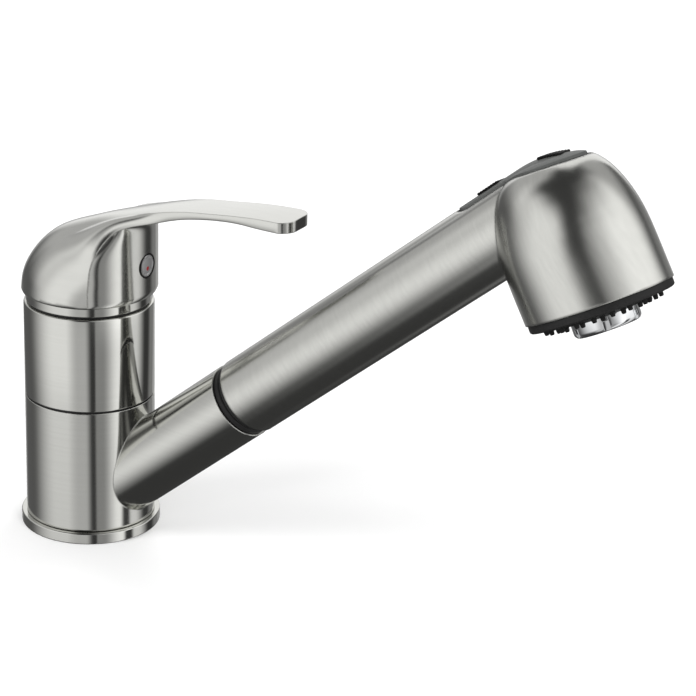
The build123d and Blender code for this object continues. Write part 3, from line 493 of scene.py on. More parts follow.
nickel = (0.62, 0.62, 0.59)
lathe = (8, 8, 1400)
shaders = {
    # turned and brushed round the column, round the handle, round the bell and along the lever
    "columnNickel": finish("columnNickel", nickel, 1.0, 0.085, lathe, 0.01, 0.02, 0.02, edge=0.25),
    "spoutNickel": finish("spoutNickel", nickel, 1.0, 0.12, lathe, 0.01, 0.02, 0.03, edge=0.6),
    "wandNickel": finish(
        "wandNickel", nickel, 1.0, 0.2, (160, 160, 900), 0.015, 0.025, 0.04, alongSpout(0), 1.2
    ),
    "leverNickel": finish(
        "leverNickel", (0.64, 0.64, 0.61), 1.0, 0.15, (60, 400, 400), 0.01, 0.015, 0.03, edge=0.5
    ),
    "chrome": finish("chrome", (0.78, 0.79, 0.8), 1.0, 0.05, (90, 90, 90), 0.004, 0.02, 0.03, edge=0.15),
    "braid": braidFinish("steelBraid", (0.42, 0.42, 0.42), 16, 3.2),
}
# finishes with even grain: name, colour, metal, roughness, grain, bump, unevenness, gloss
evenGrain = {
    "satinChrome": ("satinChrome", (0.8, 0.8, 0.8), 1.0, 0.36, 300, 0.01, 0.03, 0.5),
    "black_plastic": ("blackPlastic", (0.012, 0.012, 0.012), 0.0, 0.5, 1500, 0.06, 0.2, 0.25),
    "black_rubber": ("blackRubber", (0.008, 0.008, 0.008), 0.0, 0.6, 1500, 0.12, 0.25, 0.2),
    "grey_plastic": ("greyPlastic", (0.085, 0.088, 0.085), 0.0, 0.5, 1800, 0.08, 0.12, 0.3),
    "white_plastic": ("whitePlastic", (0.72, 0.72, 0.69), 0.0, 0.4, 400, 0.05, 0.03, 0.5),
    "brass": ("castBrass", (0.66, 0.47, 0.2), 1.0, 0.34, 350, 0.12, 0.12, 0.5),
    "steel": ("brightSteel", (0.58, 0.58, 0.58), 1.0, 0.25, 500, 0.05, 0.05, 0.5),
    "disc_ceramic": ("discCeramic", (0.86, 0.84, 0.8), 0.0, 0.2, 500, 0.02, 0.03, 0.5),
    "red": ("redEnamel", (0.3, 0.01, 0.015), 0.0, 0.3, 500, 0.02, 0.1, 0.5),
}
for key, (name, colour, metal, rough, grain, bump, uneven, gloss) in evenGrain.items():
    shaders[key] = finish(name, colour, metal, rough, (grain,) * 3, bump, uneven, gloss=gloss)
slotShader = {"nickel": "columnNickel"}


def dress(obj, shader):
    # one finish on every face of a piece or of a carried-over node
    obj.data.materials.clear()
    obj.data.materials.append(shaders[shader])
    return obj


print("stage 5: shared shapes")


def rod(name, radius, length, place=upright, steps=48, endRadius=None):
    # closed cylinder or cone from the place's origin along its z
    tip = radius if endRadius is None else endRadius
    return turned(name, [(0, 0), (radius, 0), (tip, length), (0, length)], place, steps)


def block(name, low, high, place=upright):
    # box between two corners
    deselect()
    bpy.ops.mesh.primitive_cube_add(size=1)
    obj = bpy.context.object
    obj.name = name
    obj.scale = [(b - a) * mm for a, b in zip(low, high)]
    obj.location = [(a + b) / 2 * mm for a, b in zip(low, high)]
    bpy.ops.object.transform_apply(location=True, rotation=True, scale=True)
    return settle(obj, place)


def smoothLine(points, cuts=6):
    # Catmull-Rom line through the middle points; the first and last only give it its direction
    line = []
    for before, start, end, after in zip(points, points[1:], points[2:], points[3:]):
        for step in range(cuts):
            t = step / cuts
            point = []
            for a, b, c, d in zip(before, start, end, after):
                bent = (2 * a - 5 * b + 4 * c - d) * t * t + (3 * b - a - 3 * c + d) * t ** 3
                point.append(0.5 * (2 * b + (c - a) * t + bent))
            line.append(tuple(point))
    line.append(tuple(points[-2]))
    return line


def skin(name, loops, place=upright, smooth=40, ring=False):
    # bridges loops of equally many points (mm) into one closed piece, capped or led back to its start
    form = bmesh.new()
    rows = [[form.verts.new(Vector(point) * mm) for point in loop] for loop in loops]
    for row, nextRow in zip(rows, rows[1:] + (rows[:1] if ring else [])):
        for number in range(len(row)):
            after = (number + 1) % len(row)
            form.faces.new((row[number], row[after], nextRow[after], nextRow[number]))
    if not ring:
        form.faces.new(rows[0])
        form.faces.new(rows[-1])
    mesh = bpy.data.meshes.new(name)
    form.to_mesh(mesh)
    form.free()
    obj = bpy.data.objects.new(name, mesh)
    bpy.context.scene.collection.objects.link(obj)
    activate(obj)
    closePiece(obj, smooth)
    return settle(obj, place)


def join(obj, others):
    activate(obj)
    for other in others:
        other.select_set(True)
    bpy.ops.object.join()
    return obj


def stands(obj, body, node=None, slot=None, shader=None):
    # the piece rides on a body, stands for a node and takes the finish of its slot
    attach(obj, body)
    if node:
        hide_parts(node)
    return dress(obj, shader or slotShader.get(slot, slot))


print("stage 6: base and column")

column = {
    "ringRadius": 25.4,
    "ringHeight": 4.1,
    "ringBore": 18.15,
    "gasketOuter": 24.5,
    "gasketInner": 22.85,
    "gasketDepth": 1.6,
    "footRadius": 21.65,
    "footHeight": 3.3,
    "radius": 23.5,
    "bore": 20.9,
    "sleeveBottom": 4.3,
    "seam": 50.2,
    # low, high, radius
    "washer": (50.35, 50.9, 23.15),
    "upperBottom": 50.9,
    "upperTop": 85.9,
    # inwards and down from the top's edge
    "upperEdge": [(0, 0.75), (0.2, 0.25), (0.7, 0)],
    "chamfer": 0.2,
    "neckBore": 19.05,
    "cupTop": 84.0,
    "gapRing": (85.9, 86.6, 22.25),
    # low, band, top, radius
    "collar": (86.6, 89.9, 90.6, 22.85),
    "collarSlope": 3.0,
    "collarLip": 13.5,
    "nutTop": 88.35,
}


def makeBaseRing():
    c = column
    rings = [
        (c["ringBore"], c["footHeight"]), (c["ringBore"], c["ringHeight"]),
        (c["ringRadius"], c["ringHeight"]), (c["ringRadius"], 0),
        (c["gasketOuter"], 0), (c["gasketOuter"], c["gasketDepth"]),
        (c["gasketInner"], c["gasketDepth"]), (c["gasketInner"], 0), (c["footRadius"], 0),
        (c["footRadius"], c["footHeight"]), (c["ringBore"], c["footHeight"]),
    ]
    return turned("baseRing", rings, steps=180, edge=0.35)


def makeUpperSleeve():
    c = column
    low, top, radius = c["upperBottom"], c["upperTop"], c["radius"]
    rings = [(c["bore"], low), (radius - c["chamfer"], low), (radius, low + c["chamfer"])]
    rings += [(radius - inwards, top - down) for inwards, down in c["upperEdge"]]
    rings += [(c["neckBore"], top), (c["neckBore"], c["cupTop"]), (c["bore"], c["cupTop"]), (c["bore"], low)]
    return turned("upperSleeve", rings, steps=180, edge=0.12, smooth=28)


def makeFlatRing(name, bore, low, high, radius):
    return turned(name, [(bore, low), (radius, low), (radius, high), (bore, high), (bore, low)])


def makeCollar():
    c = column
    low, band, top, radius = c["collar"]
    rings = [
        (c["neckBore"], low), (radius - 0.25, low), (radius, low + 0.25), (radius, band - 0.2),
        (radius - 0.3, band), (radius - c["collarSlope"], top), (c["collarLip"], top),
        (c["collarLip"], c["nutTop"]), (c["neckBore"], c["nutTop"]), (c["neckBore"], low),
    ]
    return turned("collar", rings, steps=180, edge=0.1, smooth=28)


stands(makeBaseRing(), "base", "base_ring", "nickel")
seamWasher = makeFlatRing("seamWasher", column["bore"], *column["washer"])
stands(seamWasher, "base", "seam_washer", "black_plastic")
stands(makeUpperSleeve(), "base", "upper_sleeve", "nickel")
gapRing = makeFlatRing("gapRing", column["neckBore"], *column["gapRing"])
stands(gapRing, "base", "gap_ring", "black_plastic")
stands(makeCollar(), "base", "collar", "nickel")

print("stage 7: spout")

tube = {
    "radius": 13.9,
    "bore": 11.6,
    "start": 6.0,
    "mouth": 82.6,
    "dockRear": 55.6,
    "flangeRadius": 13.2,
    "flangeEnd": 84.7,
    "chamfer": 0.3,
    # the wand's docking cone
    "coneEnd": 84.9,
    "coneRadius": 10.3,
    "coneTaper": 0.0375,
    "coneRim": 0.6,
}


def makeSpoutBody():
    c, t = column, tube
    bottom, low = c["sleeveBottom"], c["sleeveBottom"] - 1
    rings = [(0, low), (c["radius"], low), (c["radius"], c["seam"]), (0, c["seam"])]
    sleeve = turned("spoutBody", rings, steps=180)
    pipe = rod("pipe", t["radius"], t["mouth"] - t["start"], alongSpout(t["start"]), 144)
    combine(sleeve, pipe, "UNION")
    combine(sleeve, rod("bore", c["bore"], c["seam"] + 10, upright, 144), "DIFFERENCE")
    combine(sleeve, rod("tubeBore", t["bore"], t["mouth"] + 20, alongSpout(0), 96), "DIFFERENCE")
    combine(sleeve, block("floorCut", (-60, -60, -40), (60, 60, bottom)), "DIFFERENCE")
    return smoothed(cleaned(sleeve), 30)


def coneAt(distance):
    # radius of the docking cone, as in the CAD
    return tube["coneRadius"] - tube["coneTaper"] * (tube["coneEnd"] - distance)


def makeDockLiner():
    t = tube
    rear, end, edge = t["dockRear"], t["flangeEnd"], t["chamfer"]
    rings = [
        (t["bore"], rear), (t["bore"], t["mouth"]), (t["flangeRadius"] - edge, t["mouth"]),
        (t["flangeRadius"], t["mouth"] + edge), (t["flangeRadius"], end - edge),
        (t["flangeRadius"] - edge, end), (coneAt(end) + t["coneRim"], end), (coneAt(end) + edge, end - edge),
        (coneAt(rear) + edge, rear), (t["bore"], rear),
    ]
    return turned("dockLiner", rings, alongSpout(0))


stands(makeSpoutBody(), "spout", "spout_body", "nickel", "spoutNickel")
stands(makeDockLiner(), "spout", "dock_liner", "black_plastic")

print("stage 8: hand spray")

wand = {
    "start": 86.5,
    "radius": 14.0,
    "wall": 1.8,
    "bevel": 0.4,
    "boreEnd": 194.0,
    "waterway": 5.65,
    "bendStart": 226.0,
    "bendRadius": 25.2,
    "bendAngle": 36.0,
    "bendSteps": 24,
}
panel = {
    "rear": 199.5,
    "front": 247.8,
    "rearRadius": 6.0,
    "frontRadius": 12.4,
    "shoulderBack": 6.5,
    "shoulderRadius": 9.5,
    "thickness": 2.2,
    "rise": 0.3,
    "gap": 0.5,
    "gasket": 0.8,
    "gasketStep": 0.6,
    "travel": 1.5,
    "pivot": 223.0,
    "ridges": 8,
    "pitch": 1.1,
    "ridgeRadius": 0.5,
    "ridgeLength": 7.5,
    "rearRidges": 209.5,
    "frontRidgesAngle": 13.0,
    "ear": (3.0, 3.0, 7.4, 12.9),
    "earSlot": (4.0, 3.3, 7.1, 14.0),
    "pinHeight": 9.6,
    "pinRadius": 1.25,
    "plungerAlong": 236.0,
    "plungerRadius": 1.75,
    # how far the recess's tool stands out of the handle, and starts behind the panel
    "spareHeight": 3.0,
    "spareLength": 6.0,
}

# x along the spout, z up out of the handle
handlePlace = placeFor(onWand(0), heightWay, spoutDirection)


def bentTube(name, radius, start, angle, steps=144, bevel=0.0):
    # straight from start, where it may have a bevel, to the bend and round it, in the handle's own frame
    w = wand
    deselect()
    bpy.ops.mesh.primitive_circle_add(
        vertices=steps, radius=(radius - bevel) * mm, fill_type="NGON", rotation=(0, math.pi / 2, 0)
    )
    obj = startPiece(name)
    bpy.ops.transform.translate(value=(start * mm, 0, 0))
    if bevel:
        start += bevel
        share = radius / (radius - bevel)
        bpy.ops.mesh.extrude_region_move(TRANSFORM_OT_translate={"value": (bevel * mm, 0, 0)})
        bpy.ops.transform.resize(value=(1, share, share), center_override=(start * mm, 0, 0))
    rest = ((w["bendStart"] - start) * mm, 0, 0)
    bpy.ops.mesh.extrude_region_move(TRANSFORM_OT_translate={"value": rest})
    centre = (w["bendStart"] * mm, 0, -w["bendRadius"] * mm)
    bpy.ops.mesh.spin(steps=w["bendSteps"], angle=-math.radians(angle), center=centre, axis=(0, 1, 0))
    return settle(closePiece(obj), handlePlace)


bell = {
    # radius and height over the rim, from the straight wall to the crown
    "outer": [
        (25.0, 8.0), (24.99, 13.5), (24.86, 19.1), (24.37, 24.6), (23.35, 30.0), (21.74, 35.3),
        (19.43, 40.3), (15.94, 44.6), (10.99, 47.0), (5.53, 47.8), (0, 48.0),
    ],
    "inner": [
        (23.0, 8.0), (23.2, 14.1), (23.6, 20.1), (23.4, 26.2), (20.7, 31.5), (16.4, 35.8),
        (11.8, 39.8), (6.1, 41.7), (0, 42.0),
    ],
    # the forms reach this far past the middle of the face
    "reach": 6.0,
}


def bellForm(name, side, grow=0.0):
    # turned about the bell's own axis from past the face, if asked a little larger all over
    profile = bell[side]
    before, after = (profile[0][0], 2.0), (-profile[-2][0], profile[-2][1])
    line = smoothLine([before] + profile + [after], 5)
    crown = []
    for (ax, ay), (radius, height), (bx, by) in zip([before] + line, line, line[1:] + [after]):
        run = math.hypot(bx - ax, by - ay)
        crown.append((max(0, radius + grow * (by - ay) / run), -height - grow * (ax - bx) / run))
    crown[-1] = (0, crown[-1][1])
    reach = bell["reach"] - grow
    return turned(name, [(0, reach), (crown[0][0], reach)] + crown, bellPlace, steps=180, smooth=40)


def cutAtFace(form):
    editWhole(form)
    faceWay = turnedDown(spout["faceTilt"])
    bpy.ops.mesh.bisect(plane_co=faceCentre, plane_no=faceWay, use_fill=True, clear_outer=True)
    return closePiece(form, 40)


def capsule(name, ends, low, high):
    # upright prism round circles of (along, radius), drawn square to the handle
    deselect()
    circles = []
    for along, radius in ends:
        bpy.ops.object.select_all(action="DESELECT")
        spot = (along * mm, 0, low * mm)
        bpy.ops.mesh.primitive_circle_add(vertices=96, radius=radius * mm, location=spot)
        circles.append(bpy.context.object)
    for circle in circles:
        circle.select_set(True)
    bpy.ops.object.join()
    obj = startPiece(name)
    bpy.ops.mesh.convex_hull()
    bpy.ops.mesh.dissolve_limited(angle_limit=math.radians(0.2))
    bpy.ops.mesh.select_all(action="SELECT")
    bpy.ops.mesh.extrude_region_move(TRANSFORM_OT_translate={"value": (0, 0, (high - low) * mm)})
    return settle(closePiece(obj), handlePlace)


def panelPrism(name, grow):
    # narrow along the handle, round over the bell; no two ends lie in one plane
    p = panel
    middle = p["front"] - p["frontRadius"]
    narrow = p["rearRadius"] + grow
    prism = capsule(name, [(p["rear"] + p["rearRadius"], narrow), (middle, narrow)], -1, 29)
    wide = [(middle, p["frontRadius"] + grow), (middle - p["shoulderBack"], p["shoulderRadius"] + grow)]
    return combine(prism, capsule("wide", wide, 0, 28), "UNION")


def handleForm(name, offset, ahead):
    # the outer form of handle and bell, moved out or in by an offset
    start = panel["rear"] - panel["spareLength"] - ahead
    form = bentTube(name, wand["radius"] + offset, start, wand["bendAngle"] + 2 + ahead, 216)
    return combine(form, bellForm("crown", "outer", offset), "UNION")


def panelBand(name, low, high, grow):
    # skin between two heights over the handle's surface, inside the panel's outline
    band = combine(handleForm(name, high, 0), handleForm("under", low, 2), "DIFFERENCE")
    return cleaned(combine(band, panelPrism("outline", grow), "INTERSECT"))


def aroundPivot(name, length, width, low, high):
    # box whose half length and half width are given, at the panel's pin
    pivot = panel["pivot"]
    return block(name, (pivot - length, -width, low), (pivot + length, width, high), handlePlace)


def makeWandShell():
    w, p = wand, panel
    shell = bentTube("wandShell", w["radius"], w["start"], w["bendAngle"], bevel=w["bevel"])
    combine(shell, cutAtFace(bellForm("bell", "outer")), "UNION")
    combine(shell, bellForm("hollow", "inner"), "DIFFERENCE")
    low = w["start"] - 5
    bore = rod("bore", w["radius"] - w["wall"], w["boreEnd"] - low, alongSpout(low), 96)
    combine(shell, bore, "DIFFERENCE")
    combine(shell, rod("waterway", w["waterway"], 34, alongSpout(w["boreEnd"] - 1)), "DIFFERENCE")
    floor = p["rise"] - p["thickness"] - p["travel"]
    combine(shell, panelBand("recess", floor, p["spareHeight"], p["gap"] + p["gasket"]), "DIFFERENCE")
    combine(shell, aroundPivot("earSlot", *p["earSlot"]), "DIFFERENCE")
    plungerPlace = placeFor(onWand(p["plungerAlong"]), heightWay, spoutDirection)
    combine(shell, rod("plungerWay", p["plungerRadius"], w["radius"], plungerPlace, 24), "DIFFERENCE")
    return smoothed(cleaned(shell), 30)


def makeGripRidges():
    w, p = wand, panel
    top = w["bendRadius"] + w["radius"] + p["rise"]
    bars = []
    for number in range(p["ridges"]):
        along = p["rearRidges"] + number * p["pitch"]
        bars.append((along, w["radius"] + p["rise"]))
        angle = math.radians(p["frontRidgesAngle"]) + number * p["pitch"] / top
        bars.append((w["bendStart"] + top * math.sin(angle), top * math.cos(angle) - w["bendRadius"]))
    ridges = []
    for along, height in bars:
        place = placeFor(onWand(along, height, -p["ridgeLength"] / 2), across, heightWay)
        bar = rod("gripRidges", p["ridgeRadius"], p["ridgeLength"], place, 20)
        ridges.append(roundEdges(bar, 0.3, 50, 2))
    return join(ridges[0], ridges[1:])


def makeRockerPanel():
    p = panel
    skinPiece = panelBand("rockerPanel", p["rise"] - p["thickness"], p["rise"], 0)
    cleaned(roundEdges(skinPiece, 0.25, 50, 2))
    ear = aroundPivot("ear", *p["ear"])
    pinPlace = placeFor(onWand(p["pivot"], p["pinHeight"], -6), across, heightWay)
    combine(ear, rod("pinHole", p["pinRadius"], 12, pinPlace, 24), "DIFFERENCE")
    return join(skinPiece, [ear])


def makePanelGasket():
    p = panel
    low = p["rise"] - p["thickness"] - p["travel"]
    ring = panelBand("panelGasket", low, p["rise"] - p["gasketStep"], p["gap"] + p["gasket"])
    combine(ring, panelPrism("opening", p["gap"]), "DIFFERENCE")
    return cleaned(roundEdges(cleaned(ring), 0.2, 50, 2))


spigot = {
    "rear": 60.9,
    "rearRadius": 9.1,
    "coneStart": 61.3,
    "bore": 7.5,
    "boreEnd": 94.8,
    "noseRadius": 12.2,
    "noseEnd": 98.5,
    "noseBore": 5.5,
}


def makeWandSpigot():
    s, t = spigot, tube
    start, edge = wand["start"], t["chamfer"]
    rings = [
        (s["bore"], s["rear"]), (s["rearRadius"], s["rear"]), (coneAt(s["coneStart"]), s["coneStart"]),
        (t["coneRadius"], t["coneEnd"]), (t["flangeRadius"] - edge, t["coneEnd"]),
        (t["flangeRadius"], t["coneEnd"] + edge), (t["flangeRadius"], start), (s["noseRadius"], start),
        (s["noseRadius"], s["noseEnd"]), (s["noseBore"], s["noseEnd"]), (s["noseBore"], s["boreEnd"]),
        (s["bore"], s["boreEnd"]), (s["bore"], s["rear"]),
    ]
    return turned("wandSpigot", rings, alongSpout(0), edge=0.15)


stands(makeWandShell(), "wand", "wand_shell", "nickel", "wandNickel")
stands(makeRockerPanel(), "rocker", "rocker_panel", "grey_plastic")
stands(makeGripRidges(), "rocker", shader="black_rubber")
stands(makePanelGasket(), "wand", "panel_gasket", "black_rubber")
stands(makeWandSpigot(), "wand", "wand_spigot", "black_plastic")

print("stage 9: spray face")

face = {
    "back": -4.0,
    "bore": 10.4,
    "coneBore": 11.7,
    "boreStep": 2.6,
    "lap": 0.1,
    "edge": 0.5,
    "seat": 22.55,
    "rim": 24.4,
    "ring": 2.9,
    "cone": 4.6,
    "bandOuter": 21.6,
    "bandInner": 13.6,
    "slope": 1.3,
    "recess": 0.4,
    "nozzleRings": [(20, 19.4, 3.0), (14, 15.6, 3.6)],
    "nozzleRadius": 0.95,
    "nozzleHeight": 1.9,
    # shares of the radius and the height, then the hole's share and depth
    "nozzleRows": [(0, 0), (1, 0), (0.9, 0.5), (0.8, 0.85), (0.6, 1), (0.3, 1)],
    "nozzleHole": (0.28, 0.5),
}
aerator = {
    "thread": 10.35,
    "radius": 11.4,
    "bore": 8.7,
    "shoulder": 2.6,
    "drop": 9.3,
    # inwards and back from the front edge
    "rim": [(0, 1.6), (0.2, 0.9), (0.7, 0.3), (1.3, 0)],
    "notches": 6,
    "notchTurn": 34.0,
    "notchTop": 6.0,
    "notchWidth": 2.2,
    "notchDepth": 0.9,
    "insertSunk": 1.2,
    "grooves": 7,
    "groovePitch": 1.15,
    "groove": [(0, 0), (0.15, 0.5), (0.65, 0.5), (0.8, 0)],
}


def makeFacePlate():
    f = face
    band = f["ring"] - f["recess"]
    rings = [
        (f["bore"], f["back"]), (f["seat"], f["back"]), (f["seat"], f["lap"]), (f["rim"], f["lap"]),
        (f["rim"], f["ring"] - f["edge"]), (f["rim"] - f["edge"], f["ring"]), (f["bandOuter"], f["ring"]),
        (f["bandOuter"], band), (f["bandInner"], band + f["slope"]),
        (f["bandInner"], f["ring"] + f["slope"]), (f["coneBore"], f["cone"]),
        (f["coneBore"], f["boreStep"]), (f["bore"], f["boreStep"]), (f["bore"], f["back"]),
    ]
    return turned("facePlate", rings, facePlace, steps=180, edge=0.15)


def makeNozzles():
    f = face
    low, high = f["ring"] - f["recess"] + 0.02, f["ring"] + 0.1
    outer, inner = f["bandOuter"] - 0.05, f["bandInner"] + 0.05
    slope, radius, top = f["slope"], f["nozzleRadius"], f["nozzleHeight"]
    rings = [(outer, low), (outer, high), (inner, high + slope), (inner, low + slope), (outer, low)]
    band = turned("sprayNozzles", rings, facePlace)
    hole, depth = f["nozzleHole"]
    rows = [(radius * wide, top * tall) for wide, tall in f["nozzleRows"]]
    rows += [(radius * hole, top - depth), (0, top - depth)]
    tips = []
    for count, ring, base in f["nozzleRings"]:
        for number in range(count):
            angle = 2 * math.pi * number / count
            spot = Vector((ring * math.cos(angle), ring * math.sin(angle), base)) * mm
            place = facePlace @ Matrix.Translation(spot)
            tips.append(turned("nozzle", rows, place, steps=20, smooth=50))
    return join(band, tips)


def makeAeratorRing():
    a, back = aerator, face["back"]
    radius, top = a["radius"], a["drop"]
    rings = [(a["bore"], back), (a["thread"], back), (a["thread"], a["shoulder"]), (radius, a["shoulder"])]
    rings += [(radius - inwards, top - down) for inwards, down in a["rim"]]
    rings += [(a["bore"], top), (a["bore"], back)]
    ring = turned("aeratorRing", rings, facePlace, steps=180, smooth=40)
    half = a["notchWidth"] / 2
    low, high = (radius - a["notchDepth"], -half, a["notchTop"]), (radius + 3, half, top + 3)
    for number in range(a["notches"]):
        turn = Matrix.Rotation(math.radians(a["notchTurn"] + 360 / a["notches"] * number), 4, "Z")
        combine(ring, block("notch", low, high, facePlace @ turn), "DIFFERENCE")
    return roundEdges(ring, 0.12, 40, 2)


def makeAeratorInsert():
    a = aerator
    radius, top = a["bore"] - 0.05, a["drop"] - a["insertSunk"]
    rings = [(0, face["back"]), (radius, face["back"]), (radius, top)]
    for number in range(a["grooves"]):
        edge = radius - 0.5 - number * a["groovePitch"]
        rings += [(edge - inwards, top - down) for inwards, down in a["groove"]]
    rings.append((0, top))
    return turned("aeratorInsert", rings, facePlace, steps=96)


stands(makeFacePlate(), "wand", "face_plate", "black_plastic")
stands(makeNozzles(), "wand", "spray_nozzles", "black_rubber")
stands(makeAeratorRing(), "wand", "aerator_ring", "chrome")
stands(makeAeratorInsert(), "wand", "aerator_insert", "black_plastic")

print("stage 10: lever")

lever = {
    "fanX": 44.0,
    "fanZ": 84.0,
    "tip": 86.0,
    "halfWidth": 9.05,
    "corner": 6.0,
    "frontRadius": 24.8,
    "lip": 90.3,
    "skirt": 23.1,
    # angle, near, far, root, side, side_at, shoulder, shoulder_at
    "fan": [
        (0, 30.9, 68.6, 20.9, 24.7, 44.0, 17.4, 61.4),
        (12, 31.6, 68.5, 20.9, 24.4, 45.0, 16.2, 61.4),
        (25, 34.0, 62.9, 20.8, 21.8, 41.5, 13.6, 57.2),
        (40, 38.2, 52.8, 19.7, 19.2, 42.4, 10.0, 50.0),
        (55, 41.5, 46.9, 13.5, 13.4, 43.4, 8.7, 45.8),
        (75, 39.8, 44.3, 9.2, 9.3, 41.8, 8.6, 43.5),
    ],
    # forward, near, far, half width
    "blade": [
        (0, 41.5, 44.7, 8.6), (11, 43.3, 45.9, 8.5), (21, 44.0, 46.9, 8.6), (31, 43.6, 47.5, 8.7),
        (42.6, 43.4, 47.5, 8.8),
    ],
    # steps along the near side, the flanks and the far side of a section, and between sections
    "steps": (16, 18, 32),
    "cuts": 6,
    "flare": 5.0,
    "flareTurn": 73.0,
    "flareTop": 121.45,
    "shoulderPower": 14,
    "groove": 0.7,
    # angle, near and root of the block's first and last slice, and its steps to each side
    "blockStart": (-12, 30.9, 20.9),
    "blockEnd": (90, 41.5, 8.6),
    "blockSteps": 40,
    "blockCuts": 8,
    "blockDepth": 4.0,
    "hollowWall": 94.5,
    "hollowRoof": 101.5,
    "hollowSlope": 3.5,
    "boss": 7.5,
    "bossEnd": 96.0,
    "socketHalf": 4.05,
    "socketTop": 109.5,
    "grubRadius": 2.1,
    "tipSteps": 12,
}
plug = {
    "x": 22.4,
    "z": 102.7,
    "seat": 4.25,
    "rings": [
        (0, -4), (2.05, -4), (2.05, 0), (4.1, 0), (4.1, 2.1), (3.85, 2.35), (3.5, 2.35), (3.4, 2.05),
        (3.1, 2.05), (3.0, 2.3), (1.5, 2.4), (0, 2.4),
    ],
    "ring": [(4.12, 0.2), (4.6, 0.2), (4.6, 2.45), (4.12, 2.45), (4.12, 0.2)],
    "dotOut": 2.39,
    "dotDown": 1.0,
    "dot": [(0, -0.3), (0.75, -0.3), (0.75, 0.05), (0.6, 0.1), (0, 0.1)],
}


def arcThrough(start, middle, end, steps):
    # points on the circle through three points of a section, without the last one
    (ax, ay), (bx, by), (cx, cy) = start, middle, end
    d = 2 * (ax * (by - cy) + bx * (cy - ay) + cx * (ay - by))
    a2, b2, c2 = ax * ax + ay * ay, bx * bx + by * by, cx * cx + cy * cy
    ux = (a2 * (by - cy) + b2 * (cy - ay) + c2 * (ay - by)) / d
    uy = (a2 * (cx - bx) + b2 * (ax - cx) + c2 * (bx - ax)) / d
    radius = math.hypot(ax - ux, ay - uy)
    first = math.atan2(ay - uy, ax - ux)
    half = math.atan2(by - uy, bx - ux)
    last = math.atan2(cy - uy, cx - ux)
    sweep = (last - first) % (2 * math.pi)
    if (half - first) % (2 * math.pi) > sweep:
        sweep -= 2 * math.pi
    angles = [first + sweep * k / steps for k in range(steps)]
    return [(ux + radius * math.cos(angle), uy + radius * math.sin(angle)) for angle in angles]


def armLoop(near, far, root, side, sideAt, shoulder, shoulderAt):
    # one section as (sideways, out from the fan line) points
    nearSteps, sideSteps, farSteps = lever["steps"]
    points = [(-root + 2 * root * k / nearSteps, near) for k in range(nearSteps)]
    points += arcThrough((root, near), (side, sideAt), (shoulder, shoulderAt), sideSteps)
    points += arcThrough((shoulder, shoulderAt), (0, far), (-shoulder, shoulderAt), farSteps)
    points += arcThrough((-shoulder, shoulderAt), (-side, sideAt), (-root, near), sideSteps)
    return points


def inFan(points, angle, forward=0.0):
    # a section's points in the lever's frame
    a = math.radians(angle)
    x, z = lever["fanX"] + forward, lever["fanZ"]
    return [(x - out * math.cos(a), sideways, z + out * math.sin(a)) for sideways, out in points]


def between(loops, cuts):
    # smooth loops between the given ones, point by point
    first = [tuple(2 * a - b for a, b in zip(p, q)) for p, q in zip(loops[0], loops[1])]
    last = [tuple(2 * a - b for a, b in zip(p, q)) for p, q in zip(loops[-1], loops[-2])]
    lines = [smoothLine(list(points), cuts) for points in zip(first, *loops, last)]
    return [list(row) for row in zip(*lines)]


def makeArm():
    g = lever
    loops = [inFan(armLoop(*shape), angle) for angle, *shape in g["fan"]]
    for forward, near, far, half in g["blade"]:
        section = armLoop(near, far, half, half + 0.2, (near + far) / 2, half, far - 0.3)
        loops.append(inFan(section, 90, forward))
    return skin("leverShell", between(loops, g["cuts"]), smooth=40)


def makeFrontBlock():
    # level slices from the skirt to the blade's underside, drawn back at the shoulders to the arm's edge
    g = lever
    edges = [(angle, near, root) for angle, near, _, root, *_ in g["fan"]]
    turn = math.radians(g["flareTurn"])
    flareStart = g["flareTop"] - g["flare"] * math.sin(turn)
    steps = g["blockSteps"]
    loops = []
    for angle, near, root in smoothLine([g["blockStart"]] + edges + [g["blockEnd"]], g["blockCuts"]):
        a = math.radians(angle)
        x, z = g["fanX"] - near * math.cos(a) - g["groove"], g["fanZ"] + near * math.sin(a)
        lift = min(max(0, (z - flareStart) / g["flare"]), math.sin(turn))
        radius = g["frontRadius"] + g["flare"] * (1 - math.cos(math.asin(lift)))
        # the end lies just inside the arm's edge
        y = root - 0.05
        end = math.asin(min(1, y / radius))
        pull = radius * math.cos(end) - x
        if pull < -0.8:
            break
        points = []
        for step in range(-steps, steps + 1):
            share = math.sin(math.pi / 2 * step / steps)
            drawn = pull * abs(share) ** g["shoulderPower"]
            points.append((radius * math.cos(end * share) - drawn, radius * math.sin(end * share), z))
        points += [(x - g["blockDepth"], (y - 0.8) * (1 - k / 8), z) for k in range(17)]
        loops.append(points)
    return skin("frontBlock", loops, smooth=40)


def facingForward(x, z):
    return placeFor(Vector((x, 0, z)) * mm, Vector((1, 0, 0)), Vector((0, 1, 0)))


def makeTipCut():
    # what lies outside the rounded corners at the tip of the blade
    tip, corner, half = lever["tip"], lever["corner"], lever["halfWidth"]
    outside = block("tipCut", (tip - corner, -20, 100), (tip + 20, 20, 160))
    keep = block("tipKeep", (tip - 6 * corner, -half, 90), (tip, half, 170))
    activate(keep)
    bpy.ops.object.mode_set(mode="EDIT")
    bpy.ops.mesh.select_mode(type="EDGE")
    bpy.ops.mesh.select_all(action="DESELECT")
    form = bmesh.from_edit_mesh(keep.data)
    for edge in form.edges:
        a, b = (v.co for v in edge.verts)
        edge.select = abs(a.z - b.z) > 0.01 and min(a.x, b.x) > (tip - 1) * mm
    bmesh.update_edit_mesh(keep.data)
    bpy.ops.mesh.bevel(offset=corner * mm, segments=lever["tipSteps"])
    bpy.ops.object.mode_set(mode="OBJECT")
    return combine(outside, keep, "DIFFERENCE")


